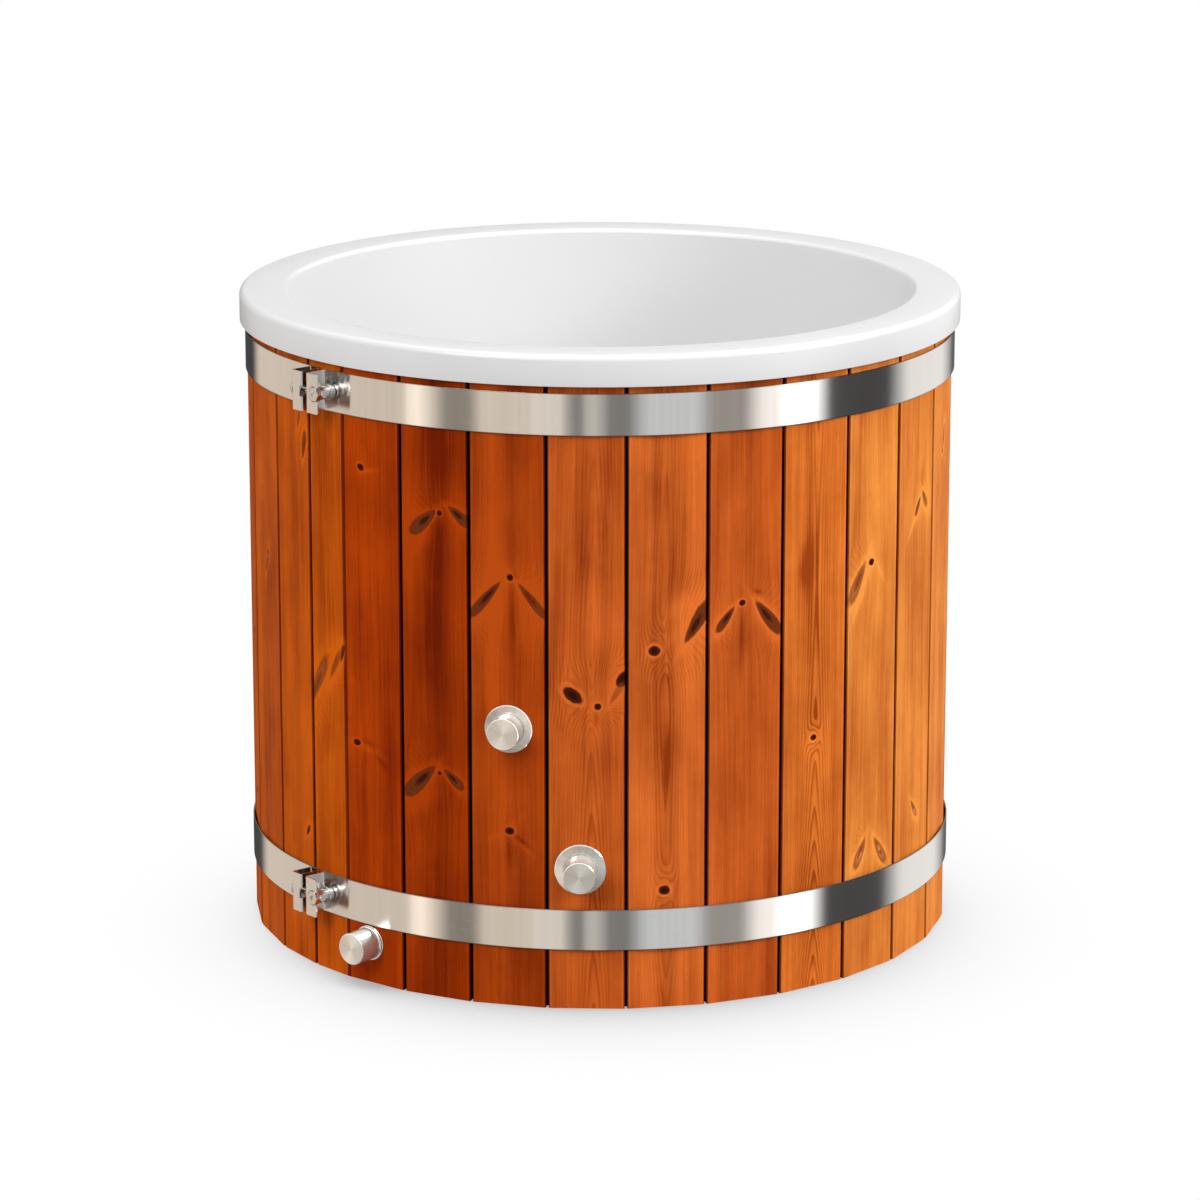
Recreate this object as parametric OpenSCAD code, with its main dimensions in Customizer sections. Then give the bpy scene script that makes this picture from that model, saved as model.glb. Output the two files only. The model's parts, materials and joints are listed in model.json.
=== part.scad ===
// Cold plunge tub: a barrel of tongue-and-groove staves under two stainless hoops,
// with a white moulded liner, two capped circulation ports and a capped drain.
// Millimetres. The origin is on the floor, on the barrel's axis, and -Y is the front.

/* [Barrel] */
// Radius of the barrel at the stave corners
stave_r = 540; // [480:1:620]
// Height of a stave
stave_h = 977; // [800:1:1100]
// Thickness of a stave
stave_t = 38; // [30:1:50]
// Number of full-width staves
full_staves = 23; // [21:1:27]
// Widths of the narrower staves, from the front one leftwards, as shares of a full stave
narrow_shares = [0.97, 0.97, 0.94, 0.91, 0.66, 0.83]; // [0.6:0.01:1]
// Angle of the joint to the right of the front stave
front_joint = 4.07; // [-6:0.01:6]
// Width of the open line between two staves
line_w = 4.2; // [2:0.1:6]
// Depth of the open line between two staves
line_d = 11; // [5:0.5:14]
// Chamfer along the outer edges of a stave
stave_chamfer = 2; // [0.5:0.1:4]
// Stave whose left joint is closed, with no open line, or 0 for none
tight_joint = 4; // [0:1:28]
// Chamfer along the edges of the closed joint
tight_chamfer = 0.8; // [0.3:0.1:2]
// Thickness of the tongue on a stave's edge
tongue_t = 8; // [5:0.5:10]
// Reach of the tongue into the next stave
tongue_l = 7; // [4:0.5:10]

/* [Floor] */
// Height of the bearers under the floor
bearer_h = 98; // [92:1:130]
// Width of a bearer
bearer_w = 48; // [30:1:70]
// Distance between the middles of two bearers
bearer_spacing = 210; // [120:1:230]
// Thickness of the floor boards
board_t = 20; // [14:1:28]
// Number of floor boards
board_count = 9; // [5:1:14]
// Gap between two floor boards
board_gap = 1; // [0.5:0.1:4]
// Depth of the groove that holds the floor in the staves
croze_d = 10; // [6:0.5:14]
// Thickness of the foam under the liner
floor_foam_t = 20; // [16:1:40]

/* [Liner] */
// Wall thickness of the liner
liner_t = 5; // [3:0.5:8]
// Thickness of the foam between liner and staves
wall_foam_t = 15; // [10:1:40]
// Inner radius between the liner's wall and floor
liner_fillet = 38; // [30:1:60]
// Height of the rim's outer skirt
rim_h = 46; // [30:1:70]
// Space between the stave corners and the rim's skirt
rim_space = 5; // [3:0.5:12]
// Rounding of the rim's outer top edge
rim_round_out = 9; // [6:0.5:14]
// Rounding of the rim's inner top edge
rim_round_in = 7; // [6:0.5:14]

/* [Hoops] */
// Width of a hoop strip
hoop_w = 62; // [40:1:80]
// Thickness of a hoop strip
hoop_t = 2; // [1:0.1:3]
// Distance that the lower hoop reaches below the floor boards
hoop_below_floor = 7; // [0:0.5:8]
// Distance between the rim and the upper hoop
rim_to_hoop = 11; // [4:1:60]
// Angle of the upper clamp round the barrel
upper_clamp_angle = -48.7; // [-180:0.1:180]
// Angle of the lower clamp round the barrel
lower_clamp_angle = -50.6; // [-180:0.1:180]
// Gap between the two lugs of a clamp
clamp_gap = 10; // [4:0.5:20]
// Depth of a lug, outwards from the strip
lug_d = 34; // [30:1:45]
// Width of the closed lug, under the bolt's head
closed_lug_w = 23; // [18:0.5:32]
// Width of the open lug's front plate, beside the barrel nut
open_lug_w = 28; // [22:0.5:34]
// Inner bend radius of a lug
lug_bend = 2; // [1:0.5:2]
// Height of the bolt slot in the lugs
slot_h = 16; // [12:0.5:24]
// Step at both edges of the strip, by which the folded lugs are lower than it
lug_step = 1.5; // [0.5:0.1:4]
// Rounding of the free corners of the open lug's front plate
lug_corner_r = 3; // [1:0.5:6]

/* [Clamp fasteners] */
// Diameter of a tension bolt
bolt_d = 9.8; // [6:0.1:10]
// Diameter of the bolt's domed head
bolt_head_d = 20.5; // [16:0.5:26]
// Height of the bolt's domed head
bolt_head_h = 11; // [5:0.5:14]
// Distance from the lugs' front to the bolt's axis
bolt_inset = 11; // [11:0.5:16]
// Thickness of the washer beside the barrel nut
washer_t = 5; // [1.5:0.1:6]
// Diameter of the washer beside the barrel nut
washer_d = 16; // [14:0.5:16]
// Diameter of the barrel nut's round body
nut_d = 20; // [16:0.5:24]
// Size of the barrel nut's hexagonal head across its flats
nut_hex = 20; // [17:0.5:24]
// Height of the hexagonal head
nut_head_h = 8; // [4:0.5:10]
// Distance that the barrel nut stands out past the lug
nut_proud = 1; // [0:0.5:4]
// Diameter of the barrel nut's collar
collar_d = 25; // [22:0.5:30]
// Thickness of the barrel nut's collar
collar_t = 3; // [2:0.5:5]
// Distance from the strip to the collar
collar_out = 8; // [5:0.5:9]
// Size of the hexagonal socket across its flats
socket_hex = 8; // [5:0.5:12]
// Depth of the hexagonal socket
socket_d = 4; // [2:0.5:4.5]

/* [Ports] */
// Outer diameter of a port's thread
thread_d = 41.9; // [36:0.1:42]
// Bore of a port
port_bore = 34; // [26:0.5:35]
// Pitch of the port thread
thread_pitch = 2.309; // [1.5:0.001:3]
// Turns of thread that a cap engages
thread_turns = 5; // [3:1:5]
// Diameter of a screw cap
cap_d = 48; // [46:0.5:56]
// Thickness of a screw cap's end wall
cap_end_t = 4; // [2:0.5:6]
// Thickness of a cap's seal
cap_seal_t = 3; // [2:0.5:5]
// Height of the upper port above the lower one
port_spacing = 209; // [120:1:300]
// Sideways place of the upper port on its stave
upper_port_side = 1; // [-15:0.5:15]
// Diameter of the upper port's flange
upper_flange_d = 72; // [60:0.5:84]
// Distance from the stave to the face of the upper cap
upper_cap_out = 34; // [30:0.5:50]
// Space between the liner's rounded foot and the lower port's inner flange
port_foot_space = 2; // [1:0.5:60]
// Sideways place of the lower port on its stave
lower_port_side = -9; // [-12:0.5:12]
// Diameter of the lower port's flange
lower_flange_d = 76; // [60:0.5:84]
// Distance from the stave to the face of the lower cap
lower_cap_out = 46; // [32:0.5:60]
// Edge thickness of a port flange
flange_edge_t = 3; // [2:0.5:5]
// Hub thickness of a port flange
flange_hub_t = 4.5; // [3.5:0.5:8]
// Diameter of the flange inside the liner
inner_flange_d = 62; // [54:0.5:76]
// Thickness of the flange inside the liner
inner_flange_t = 4; // [3:0.5:8]
// Least thickness of the gasket inside the liner
gasket_t = 2; // [1:0.5:4]
// Thickness of a port grille's face
grille_t = 2; // [1:0.5:3]
// Diameter of a hole in a port grille
grille_hole_d = 5; // [3:0.5:6]

/* [Drain] */
// Space between the drain elbow and the floor boards
elbow_space = 1; // [0.5:0.5:6]
// Sideways place of the drain on its stave
drain_side = -12; // [-14:0.5:14]
// Diameter of the drain flange
drain_flange_d = 54; // [52:0.5:56]
// Height of the drain flange with its neck
drain_neck_h = 10; // [8:0.5:14]
// Distance from the stave to the face of the drain cap
drain_cap_out = 44; // [38:0.5:60]
// Distance from the stave's face to the outlet in the liner's floor
drain_inset = 136; // [125:1:170]
// Outer diameter of the drain pipe
pipe_d = 32; // [26:0.5:34]
// Wall thickness of the drain pipe
pipe_t = 3; // [2:0.5:4]
// Bend radius of the drain elbow
bend_r = 22; // [21:0.5:24]
// Depth of a socket in the elbow
socket_l = 13; // [8:0.5:13]
// Diameter of the outlet's flange on the liner's floor
outlet_flange_d = 80; // [64:1:86]
// Thickness of the outlet's flange
outlet_flange_t = 3; // [2:0.5:5]
// Size of the outlet nut across its flats
outlet_nut_hex = 50; // [44:0.5:56]
// Height of the outlet nut
outlet_nut_h = 9; // [6:0.5:12]
// Diameter of the strainer
strainer_d = 60; // [50:1:62]
// Number of slots in the strainer
strainer_slots = 8; // [6:1:12]

/* [Hidden] */
$fn = 120;
// Facets of a wall curve that a thin gasket has to follow
wall_facets = 720;
// Clearance of curved faces that stay together
fit = 0.3;
// Clearance of flat faces that stay together
seat = 0.1;
// Radial clearance of turning fits
run = 0.08;
// Small overlap that makes a cut go through a face
over = 1;
// Half of the clearance where two staves meet
stave_fit = 0.1;

// Stave ring: the shares of every stave, the full pitch and the angle of each centre
shares = [for (i = [0 : len(narrow_shares) + full_staves - 1])
    i < len(narrow_shares) ? narrow_shares[i] : 1];
function sum_to(v, n) = n <= 0 ? 0 : v[n - 1] + sum_to(v, n - 1);
stave_count = len(shares);
pitch_angle = 360 / sum_to(shares, stave_count);
function stave_half(i) = pitch_angle * shares[i - 1] / 2;
function stave_angle(i) = front_joint - pitch_angle * sum_to(shares, i - 1) - stave_half(i);
function stave_face(i) = stave_r * cos(stave_half(i));
function stave_name(i) = str("stave_", i < 10 ? "0" : "", i);

// Middle of the tongue, measured along the joint from the barrel's axis
tongue_r = stave_r - line_d - (stave_t - line_d) / 2;
tongue_chamfer = 1;

// Radii from the staves inwards
stave_in_r = stave_r * cos(pitch_angle / 2) - stave_t;
foam_out_r = stave_in_r - fit;
foam_in_r = foam_out_r - wall_foam_t;
liner_out_r = foam_in_r - fit;
liner_r = liner_out_r - liner_t;
floor_r = stave_in_r + croze_d - fit;
bearer_r = stave_in_r - 4 * over;

// Heights from the floor upwards
floor_top = bearer_h + board_t;
liner_bottom = floor_top + floor_foam_t;
liner_floor = liner_bottom + liner_t;
rim_under = stave_h + seat;
rim_top = rim_under + liner_t;
rim_bottom = rim_top - rim_h;
rim_r = stave_r + rim_space + liner_t;
foam_top = rim_under - 2 * liner_t;

// Hoops
hoop_r = stave_r + seat;
hoop_out_r = hoop_r + hoop_t;
upper_hoop_z = rim_bottom - rim_to_hoop - hoop_w;
lower_hoop_z = bearer_h - hoop_below_floor;
lug_in_x = clamp_gap / 2;
closed_lug_x = lug_in_x + closed_lug_w;
bolt_slot_d = bolt_d + 2 * fit;
bolt_out = lug_d - bolt_inset;
nut_x = lug_in_x + hoop_t + washer_t + 2 * seat + max(nut_d, nut_hex / cos(30)) / 2;
nut_len = lug_d + nut_proud;
bolt_end_x = nut_x + nut_d / 2 + bolt_d / 5;

// Ports: staves that carry them, counted from the front one leftwards
lower_port_stave = 1;
upper_port_stave = 2;
drain_stave = 4;
hole_d = thread_d + 2 * fit;
flange_bore_d = thread_d + 2 * run;
inner_flange_reach = inner_flange_d / 2;
lower_port_z = liner_floor + liner_fillet + inner_flange_reach + port_foot_space;
upper_port_z = lower_port_z + port_spacing;
cap_travel = thread_pitch * thread_turns;
cap_chamfer = 1;
cap_clear = 0.8;
spigot_chamfer = 1.5;
tick_w = 1;
tick_l = 6;
tick_d = 0.4;
tick_angles = [0, 135];

// Drain
drain_z = bearer_h - elbow_space - socket_l - bend_r;
outlet_top = liner_floor + gasket_t + outlet_flange_t;
elbow_wall = 5;
elbow_d = pipe_d + 2 * elbow_wall;
pipe_bore = pipe_d - 2 * pipe_t;
pipe_seat = 2;
pipe_collar_t = 4;
pipe_collar_w = 5;
pipe_collar_d = thread_d + 2 * pipe_collar_w;
neck_in = 2;
neck_d = cap_d - 2 * neck_in;
neck_gap = 1.5;
strainer_t = 2;
strainer_slot_w = 3;
strainer_edge = 2;
strainer_hub_r = 4;

// Places children on a stave's outer face: X sideways, Y up, Z outwards
module on_stave(i, side, z) {
    rotate([0, 0, stave_angle(i)])
        translate([side, -stave_face(i), z])
            rotate([90, 0, 0]) children();
}

module at_upper_port() { on_stave(upper_port_stave, upper_port_side, upper_port_z) children(); }

module at_lower_port() { on_stave(lower_port_stave, lower_port_side, lower_port_z) children(); }

module at_drain() { on_stave(drain_stave, drain_side, drain_z) children(); }

// Places children on the outlet's upright axis, at floor level
module at_outlet() {
    rotate([0, 0, stave_angle(drain_stave)])
        translate([drain_side, drain_inset - stave_face(drain_stave), 0]) children();
}

// Ring between two diameters
module ring(outer_d, inner_d, h) {
    difference() {
        cylinder(d = outer_d, h = h);
        translate([0, 0, -over]) cylinder(d = inner_d, h = h + 2 * over);
    }
}

// What a rounding of radius r takes off a corner at the origin
module corner_waste(r) {
    difference() {
        translate([-over, -over]) square(r + over);
        translate([r, r]) circle(r);
    }
}

// Point beside the joint plane at angle h: out to the right of it, along it from the axis
function at_joint(h, out, along) =
    [out * cos(h) + along * sin(h), out * sin(h) - along * cos(h)];

// Plan of a stave of half angle h with its outer face at distance face: a tongue on the
// right, a groove on the left and an open line outside both, unless that joint is tight
module stave_plan(h, face, tight_left, tight_right) {
    inner = face - stave_t;
    step = face - line_d;
    half = tongue_t / 2;
    reach = tongue_l - fit;
    meet = stave_fit / 2 / cos(h);
    line = line_w / 2 / cos(h);
    left = tight_left ? meet : line;
    right = tight_right ? meet : line;
    left_cut = tight_left ? tight_chamfer : stave_chamfer;
    right_cut = tight_right ? tight_chamfer : stave_chamfer;
    low = tongue_r - half;
    high = tongue_r + half;
    polygon([
        [inner * tan(h) - meet, -inner],
        at_joint(h, -stave_fit / 2, low),
        at_joint(h, reach - tongue_chamfer, low),
        at_joint(h, reach, low + tongue_chamfer),
        at_joint(h, reach, high - tongue_chamfer),
        at_joint(h, reach - tongue_chamfer, high),
        at_joint(h, -stave_fit / 2, high),
        if (!tight_right) [step * tan(h) - meet, -step],
        if (!tight_right) [step * tan(h) - right, -step],
        [(face - right_cut) * tan(h) - right, right_cut - face],
        [face * tan(h) - right - right_cut, -face],
        [left + left_cut - face * tan(h), -face],
        [left - (face - left_cut) * tan(h), left_cut - face],
        if (!tight_left) [left - step * tan(h), -step],
        if (!tight_left) [meet - step * tan(h), -step],
        at_joint(-h, stave_fit / 2, high + stave_fit),
        at_joint(-h, tongue_l, high + stave_fit),
        at_joint(-h, tongue_l, low - stave_fit),
        at_joint(-h, stave_fit / 2, low - stave_fit),
        [meet - inner * tan(h), -inner]
    ]);
}

module stave(i) {
    color("#b5561c") difference() {
        rotate([0, 0, stave_angle(i)])
            linear_extrude(stave_h)
                stave_plan(stave_half(i), stave_face(i),
                           i == tight_joint, tight_joint > 0 && i == tight_joint + 1);
        translate([0, 0, bearer_h - seat])
            cylinder(r = stave_in_r + croze_d, h = board_t + 2 * seat);
        if (i == upper_port_stave) at_upper_port() wall_hole();
        if (i == lower_port_stave) at_lower_port() wall_hole();
        if (i == drain_stave) at_drain() wall_hole();
    }
}

// Hole for a spigot, through the stave, the foam and the liner's wall
module wall_hole() {
    depth = stave_r - liner_r + 2 * liner_t;
    translate([0, 0, -depth]) cylinder(d = hole_d, h = depth + over);
}

module bearers() {
    color("#c79a63")
        for (y = [-bearer_spacing, 0, bearer_spacing])
            intersection() {
                translate([-stave_r, y - bearer_w / 2, 0]) cube([2 * stave_r, bearer_w, bearer_h - seat]);
                cylinder(r = bearer_r, h = bearer_h);
            }
}

module floor_boards() {
    pitch = 2 * floor_r / board_count;
    color("#cfa36c")
        for (k = [0 : board_count - 1])
            difference() {
                intersection() {
                    translate([-floor_r + k * pitch + board_gap / 2, -floor_r, bearer_h])
                        cube([pitch - board_gap, 2 * floor_r, board_t]);
                    cylinder(r = floor_r, h = floor_top);
                }
                at_outlet() cylinder(d = pipe_d + 4 * over, h = floor_top + over);
            }
}

module floor_foam() {
    color("#e8dfc0") difference() {
        translate([0, 0, floor_top + seat])
            cylinder(r = liner_out_r, h = floor_foam_t - 2 * seat);
        at_outlet() cylinder(r = outlet_nut_hex / cos(30) / 2 + over, h = liner_bottom);
    }
}

module wall_foam() {
    color("#e8dfc0") difference() {
        translate([0, 0, floor_top + seat])
            ring(2 * foam_out_r, 2 * foam_in_r, foam_top - floor_top);
        at_upper_port() wall_hole();
        at_lower_port() wall_hole();
    }
}

// Half section of the liner: rim with its skirt, wall, rounded foot and floor
module liner_section() {
    foot_r = liner_fillet + liner_t;
    difference() {
        translate([liner_r, rim_bottom]) square([rim_r - liner_r, rim_h]);
        translate([liner_out_r, rim_bottom - over])
            square([rim_r - liner_t - liner_out_r, rim_under - rim_bottom + over]);
        translate([liner_r, rim_top]) mirror([0, 1]) corner_waste(rim_round_in);
        translate([rim_r, rim_top]) mirror([0, 1]) mirror([1, 0]) corner_waste(rim_round_out);
    }
    // The skirt's inner corner follows the outer rounding
    translate([rim_r - liner_t, rim_under]) mirror([0, 1]) mirror([1, 0])
        intersection() {
            corner_waste(rim_round_out - liner_t);
            translate([-over, -over]) square(rim_round_out);
        }
    translate([liner_r, liner_bottom + foot_r]) square([liner_t, rim_bottom - liner_bottom - foot_r + over]);
    translate([0, liner_bottom]) square([liner_out_r - foot_r, liner_t]);
    translate([liner_out_r - foot_r, liner_bottom + foot_r])
        intersection() {
            difference() {
                circle(foot_r);
                circle(liner_fillet);
            }
            translate([0, -foot_r]) square(foot_r);
        }
}

module liner() {
    color("#f4f4f2") difference() {
        rotate_extrude() liner_section();
        at_upper_port() wall_hole();
        at_lower_port() wall_hole();
        at_outlet() translate([0, 0, liner_bottom - over])
            cylinder(d = pipe_d + 2 * fit, h = liner_t + 2 * over);
    }
}

// Places children at a clamp: X along the strip, Y outwards from the barrel's axis
module at_clamp(angle, z) {
    rotate([0, 0, angle + 180]) translate([0, 0, z]) mirror([1, 0, 0]) children();
}

// Quarter bend of the strip round the origin, in the quadrant given by two signs
module strip_bend(sx, sy) {
    bend_out = lug_bend + hoop_t;
    intersection() {
        difference() {
            circle(bend_out);
            circle(lug_bend);
        }
        translate([sx > 0 ? 0 : -bend_out, sy > 0 ? 0 : -bend_out]) square(bend_out);
    }
}

// One lug in plan, on the side of positive X: the strip turns out and then away from the gap
module lug_plan(width) {
    turn = lug_bend + hoop_t;
    front = hoop_out_r + lug_d;
    translate([lug_in_x + turn, hoop_r + turn]) strip_bend(-1, -1);
    translate([lug_in_x, hoop_r + turn]) square([hoop_t, lug_d + hoop_t - 2 * turn]);
    translate([lug_in_x + turn, front - turn]) strip_bend(-1, 1);
    translate([lug_in_x + turn, front - hoop_t]) square([width - turn, hoop_t]);
}

// The closed lug under the bolt's head has a third side that comes back to the strip
module closed_lug_plan() {
    turn = lug_bend + hoop_t;
    front = hoop_out_r + lug_d;
    difference() {
        lug_plan(closed_lug_w);
        translate([closed_lug_x - turn, front - turn]) square(2 * turn);
    }
    translate([closed_lug_x - turn, front - turn]) strip_bend(1, 1);
    translate([closed_lug_x - hoop_t, hoop_r + hoop_t / 2])
        square([hoop_t, lug_d + hoop_t / 2 - turn]);
}

// What rounds the lower free corner of the open lug's front plate
module lug_corner() {
    translate([lug_in_x + open_lug_w, hoop_out_r + lug_d + over, lug_step])
        rotate([90, 0, 0]) linear_extrude(hoop_t + 2 * over)
            mirror([1, 0]) corner_waste(lug_corner_r);
}

module hoop(angle, z) {
    turn = lug_bend + hoop_t;
    mid = hoop_w / 2;
    bolt_r = hoop_out_r + bolt_out;
    color("#b9bcbd") at_clamp(angle, z) difference() {
        union() {
            linear_extrude(hoop_w) difference() {
                circle(hoop_out_r);
                circle(hoop_r);
                translate([-lug_in_x - turn, 0]) square([2 * (lug_in_x + turn), hoop_out_r + over]);
            }
            translate([0, 0, lug_step]) linear_extrude(hoop_w - 2 * lug_step) {
                lug_plan(open_lug_w);
                mirror([1, 0]) closed_lug_plan();
            }
        }
        lug_corner();
        translate([0, 0, hoop_w]) mirror([0, 0, 1]) lug_corner();
        // Hole for the bolt through both lugs
        translate([-closed_lug_x - over, bolt_r, mid]) rotate([0, 90, 0])
            cylinder(d = bolt_slot_d, h = lug_in_x + 2 * over + closed_lug_x + turn);
        // The gap side of the closed lug is slotted out to the front
        translate([-lug_in_x - turn, bolt_r, mid - slot_h / 2])
            cube([turn + over, lug_d, slot_h]);
        // Round notch in the open lug's front plate, for the barrel nut
        translate([nut_x, hoop_out_r + lug_d / 2, mid]) rotate([-90, 0, 0])
            cylinder(d = max(nut_d, nut_hex / cos(30)) + 2 * fit, h = lug_d);
        translate([nut_x, hoop_out_r + lug_d / 2, mid - nut_d / 2 - fit])
            cube([open_lug_w, lug_d, nut_d + 2 * fit]);
    }
}

module hoop_upper() { hoop(upper_clamp_angle, upper_hoop_z); }

module hoop_lower() { hoop(lower_clamp_angle, lower_hoop_z); }

// Places children on both clamps' bolt axes: X along the bolt, Y outwards, Z up
module on_both_clamps() {
    at_clamp(upper_clamp_angle, upper_hoop_z + hoop_w / 2)
        translate([0, hoop_out_r + bolt_out, 0]) children();
    at_clamp(lower_clamp_angle, lower_hoop_z + hoop_w / 2)
        translate([0, hoop_out_r + bolt_out, 0]) children();
}

// Half section of a domed head, its flat side on the axis X
module dome_section(d, h) {
    r = (d * d / 4 + h * h) / (2 * h);
    intersection() {
        translate([0, h - r]) circle(r);
        square([d / 2, h]);
    }
}

module tension_bolts() {
    head_x = -closed_lug_x - seat;
    color("#c9cbcc") on_both_clamps() {
        translate([head_x, 0, 0]) rotate([0, -90, 0])
            rotate_extrude() dome_section(bolt_head_d, bolt_head_h);
        translate([head_x - over, 0, 0]) rotate([0, 90, 0])
            cylinder(d = bolt_d, h = bolt_end_x - head_x + over);
    }
}

module barrel_nuts() {
    head_r = nut_hex / cos(30) / 2;
    color("#c9cbcc") on_both_clamps()
        translate([nut_x, -bolt_out, 0]) rotate([-90, 0, 0])
            difference() {
                union() {
                    translate([0, 0, fit]) cylinder(d = nut_d - over, h = collar_out);
                    translate([0, 0, collar_out]) cylinder(d = collar_d, h = collar_t);
                    translate([0, 0, collar_out]) cylinder(d = nut_d, h = nut_len - collar_out - nut_head_h);
                    intersection() {
                        translate([0, 0, nut_len - nut_head_h])
                            cylinder(r = head_r, h = nut_head_h, $fn = 6);
                        translate([0, 0, nut_len - nut_head_h])
                            cylinder(r1 = head_r + nut_head_h, r2 = head_r - over, h = nut_head_h);
                    }
                }
                translate([0, 0, nut_len - socket_d])
                    cylinder(r = socket_hex / cos(30) / 2, h = socket_d + over, $fn = 6);
                translate([-collar_d, 0, bolt_out]) rotate([0, 90, 0])
                    cylinder(d = bolt_d + 2 * run, h = 2 * collar_d);
            }
}

module clamp_washers() {
    color("#c9cbcc") on_both_clamps()
        translate([lug_in_x + hoop_t + seat, 0, 0]) rotate([0, 90, 0])
            ring(washer_d, bolt_slot_d, washer_t);
}

// Distance from the stave's face to the back of the flange inside the liner
function inner_flange_back(i, side) =
    stave_face(i) - sqrt(pow(liner_r, 2) - pow(abs(side) + inner_flange_reach, 2)) + gasket_t;

// Threaded tube from the flange inside the liner out to the cap
module spigot(i, side, cap_out) {
    back = inner_flange_back(i, side);
    tip = cap_out - cap_end_t - cap_seal_t - 2 * seat;
    color("#c4c6c7") difference() {
        union() {
            translate([0, 0, -back - inner_flange_t])
                rotate_extrude() difference() {
                    square([inner_flange_reach, inner_flange_t]);
                    translate([inner_flange_reach, 0]) mirror([1, 0]) corner_waste(inner_flange_t / 2);
                }
            translate([0, 0, -back - inner_flange_t / 2])
                cylinder(d = thread_d, h = back + inner_flange_t / 2 + tip - spigot_chamfer);
            translate([0, 0, tip - spigot_chamfer])
                cylinder(d1 = thread_d, d2 = thread_d - 2 * spigot_chamfer, h = spigot_chamfer);
        }
        translate([0, 0, -back - inner_flange_t - over])
            cylinder(d = port_bore, h = back + inner_flange_t + tip + 2 * over);
    }
}

// Round nut outside the stave: a low cone, with two index ticks on its face
module flange(d) {
    rim = d / 2;
    hub = cap_d / 2 + 2 * over;
    hole = flange_bore_d / 2;
    color("#c4c6c7") difference() {
        rotate_extrude()
            polygon([[hole, seat], [rim, seat], [rim, flange_edge_t - over],
                     [rim - over, flange_edge_t], [hub, flange_hub_t], [hole, flange_hub_t]]);
        for (a = tick_angles)
            rotate([0, 0, a])
                translate([rim - 2 * over - tick_l, -tick_w / 2, flange_edge_t - tick_d])
                    cube([tick_l, tick_w, flange_hub_t]);
    }
}

// Screw cap: plain outside, relieved at the mouth, threaded over its travel
module screw_cap(cap_out, mouth) {
    tip = cap_out - cap_end_t - cap_seal_t - 2 * seat;
    r = cap_d / 2;
    bore = thread_d / 2 + run;
    color("#c8cacb") rotate_extrude() difference() {
        translate([0, mouth]) square([r, cap_out - mouth]);
        translate([-over, mouth - over]) square([bore + over, cap_out - cap_end_t - mouth + over]);
        translate([0, mouth - over]) square([bore + over, tip - cap_travel - mouth + over]);
        translate([r, cap_out]) rotate(45) square(cap_chamfer * sqrt(2), center = true);
    }
}

module cap_seal(cap_out) {
    color("#2b2b2b")
        translate([0, 0, cap_out - cap_end_t - cap_seal_t - seat])
            ring(thread_d, port_bore, cap_seal_t);
}

module upper_spigot() { at_upper_port() spigot(upper_port_stave, upper_port_side, upper_cap_out); }

module upper_flange() { at_upper_port() flange(upper_flange_d); }

module upper_cap() { at_upper_port() screw_cap(upper_cap_out, flange_hub_t + cap_clear); }

module upper_cap_seal() { at_upper_port() cap_seal(upper_cap_out); }

module lower_spigot() { at_lower_port() spigot(lower_port_stave, lower_port_side, lower_cap_out); }

module lower_flange() { at_lower_port() flange(lower_flange_d); }

module lower_cap() { at_lower_port() screw_cap(lower_cap_out, flange_hub_t + cap_clear); }

module lower_cap_seal() { at_lower_port() cap_seal(lower_cap_out); }

// Gasket whose back follows the round wall of the liner
module wall_gasket(i, side, z) {
    back = inner_flange_back(i, side);
    intersection() {
        on_stave(i, side, z) translate([0, 0, seat - back])
            ring(inner_flange_d, hole_d, stave_face(i) - liner_r);
        translate([0, 0, z - inner_flange_d])
            cylinder(r = liner_r - seat, h = 2 * inner_flange_d, $fn = wall_facets);
    }
}

module port_gaskets() {
    color("#2b2b2b") {
        wall_gasket(upper_port_stave, upper_port_side, upper_port_z);
        wall_gasket(lower_port_stave, lower_port_side, lower_port_z);
    }
}

// Drilled guard pushed into the inner end of a spigot
module grille(i, side) {
    back = inner_flange_back(i, side);
    lip_d = (port_bore + inner_flange_d) / 2;
    ring_r = port_bore / 2 - grille_hole_d;
    translate([0, 0, -back - inner_flange_t - grille_t - seat])
        difference() {
            union() {
                cylinder(d = lip_d, h = grille_t);
                cylinder(d = port_bore - 2 * fit, h = grille_t + inner_flange_t);
            }
            translate([0, 0, -over]) cylinder(d = grille_hole_d, h = grille_t + inner_flange_t + 2 * over);
            for (a = [0 : 60 : 300])
                rotate([0, 0, a]) translate([ring_r, 0, -over])
                    cylinder(d = grille_hole_d, h = grille_t + inner_flange_t + 2 * over);
        }
}

module port_grilles() {
    color("#ececea") {
        at_upper_port() grille(upper_port_stave, upper_port_side);
        at_lower_port() grille(lower_port_stave, lower_port_side);
    }
}

// Tailpiece through the liner's floor, with its flange above
module drain_outlet() {
    foot = drain_z + bend_r + pipe_seat;
    color("#dcdcda") at_outlet() difference() {
        union() {
            translate([0, 0, foot]) cylinder(d = pipe_d, h = outlet_top - foot);
            translate([0, 0, outlet_top - outlet_flange_t])
                cylinder(d1 = outlet_flange_d, d2 = outlet_flange_d - outlet_flange_t, h = outlet_flange_t);
        }
        translate([0, 0, foot - over]) cylinder(d = pipe_bore, h = outlet_top - foot + 2 * over);
    }
}

module drain_gasket() {
    color("#2b2b2b") at_outlet() translate([0, 0, liner_floor + seat])
        ring(outlet_flange_d - over, pipe_d + 2 * fit, gasket_t - 2 * seat);
}

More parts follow.
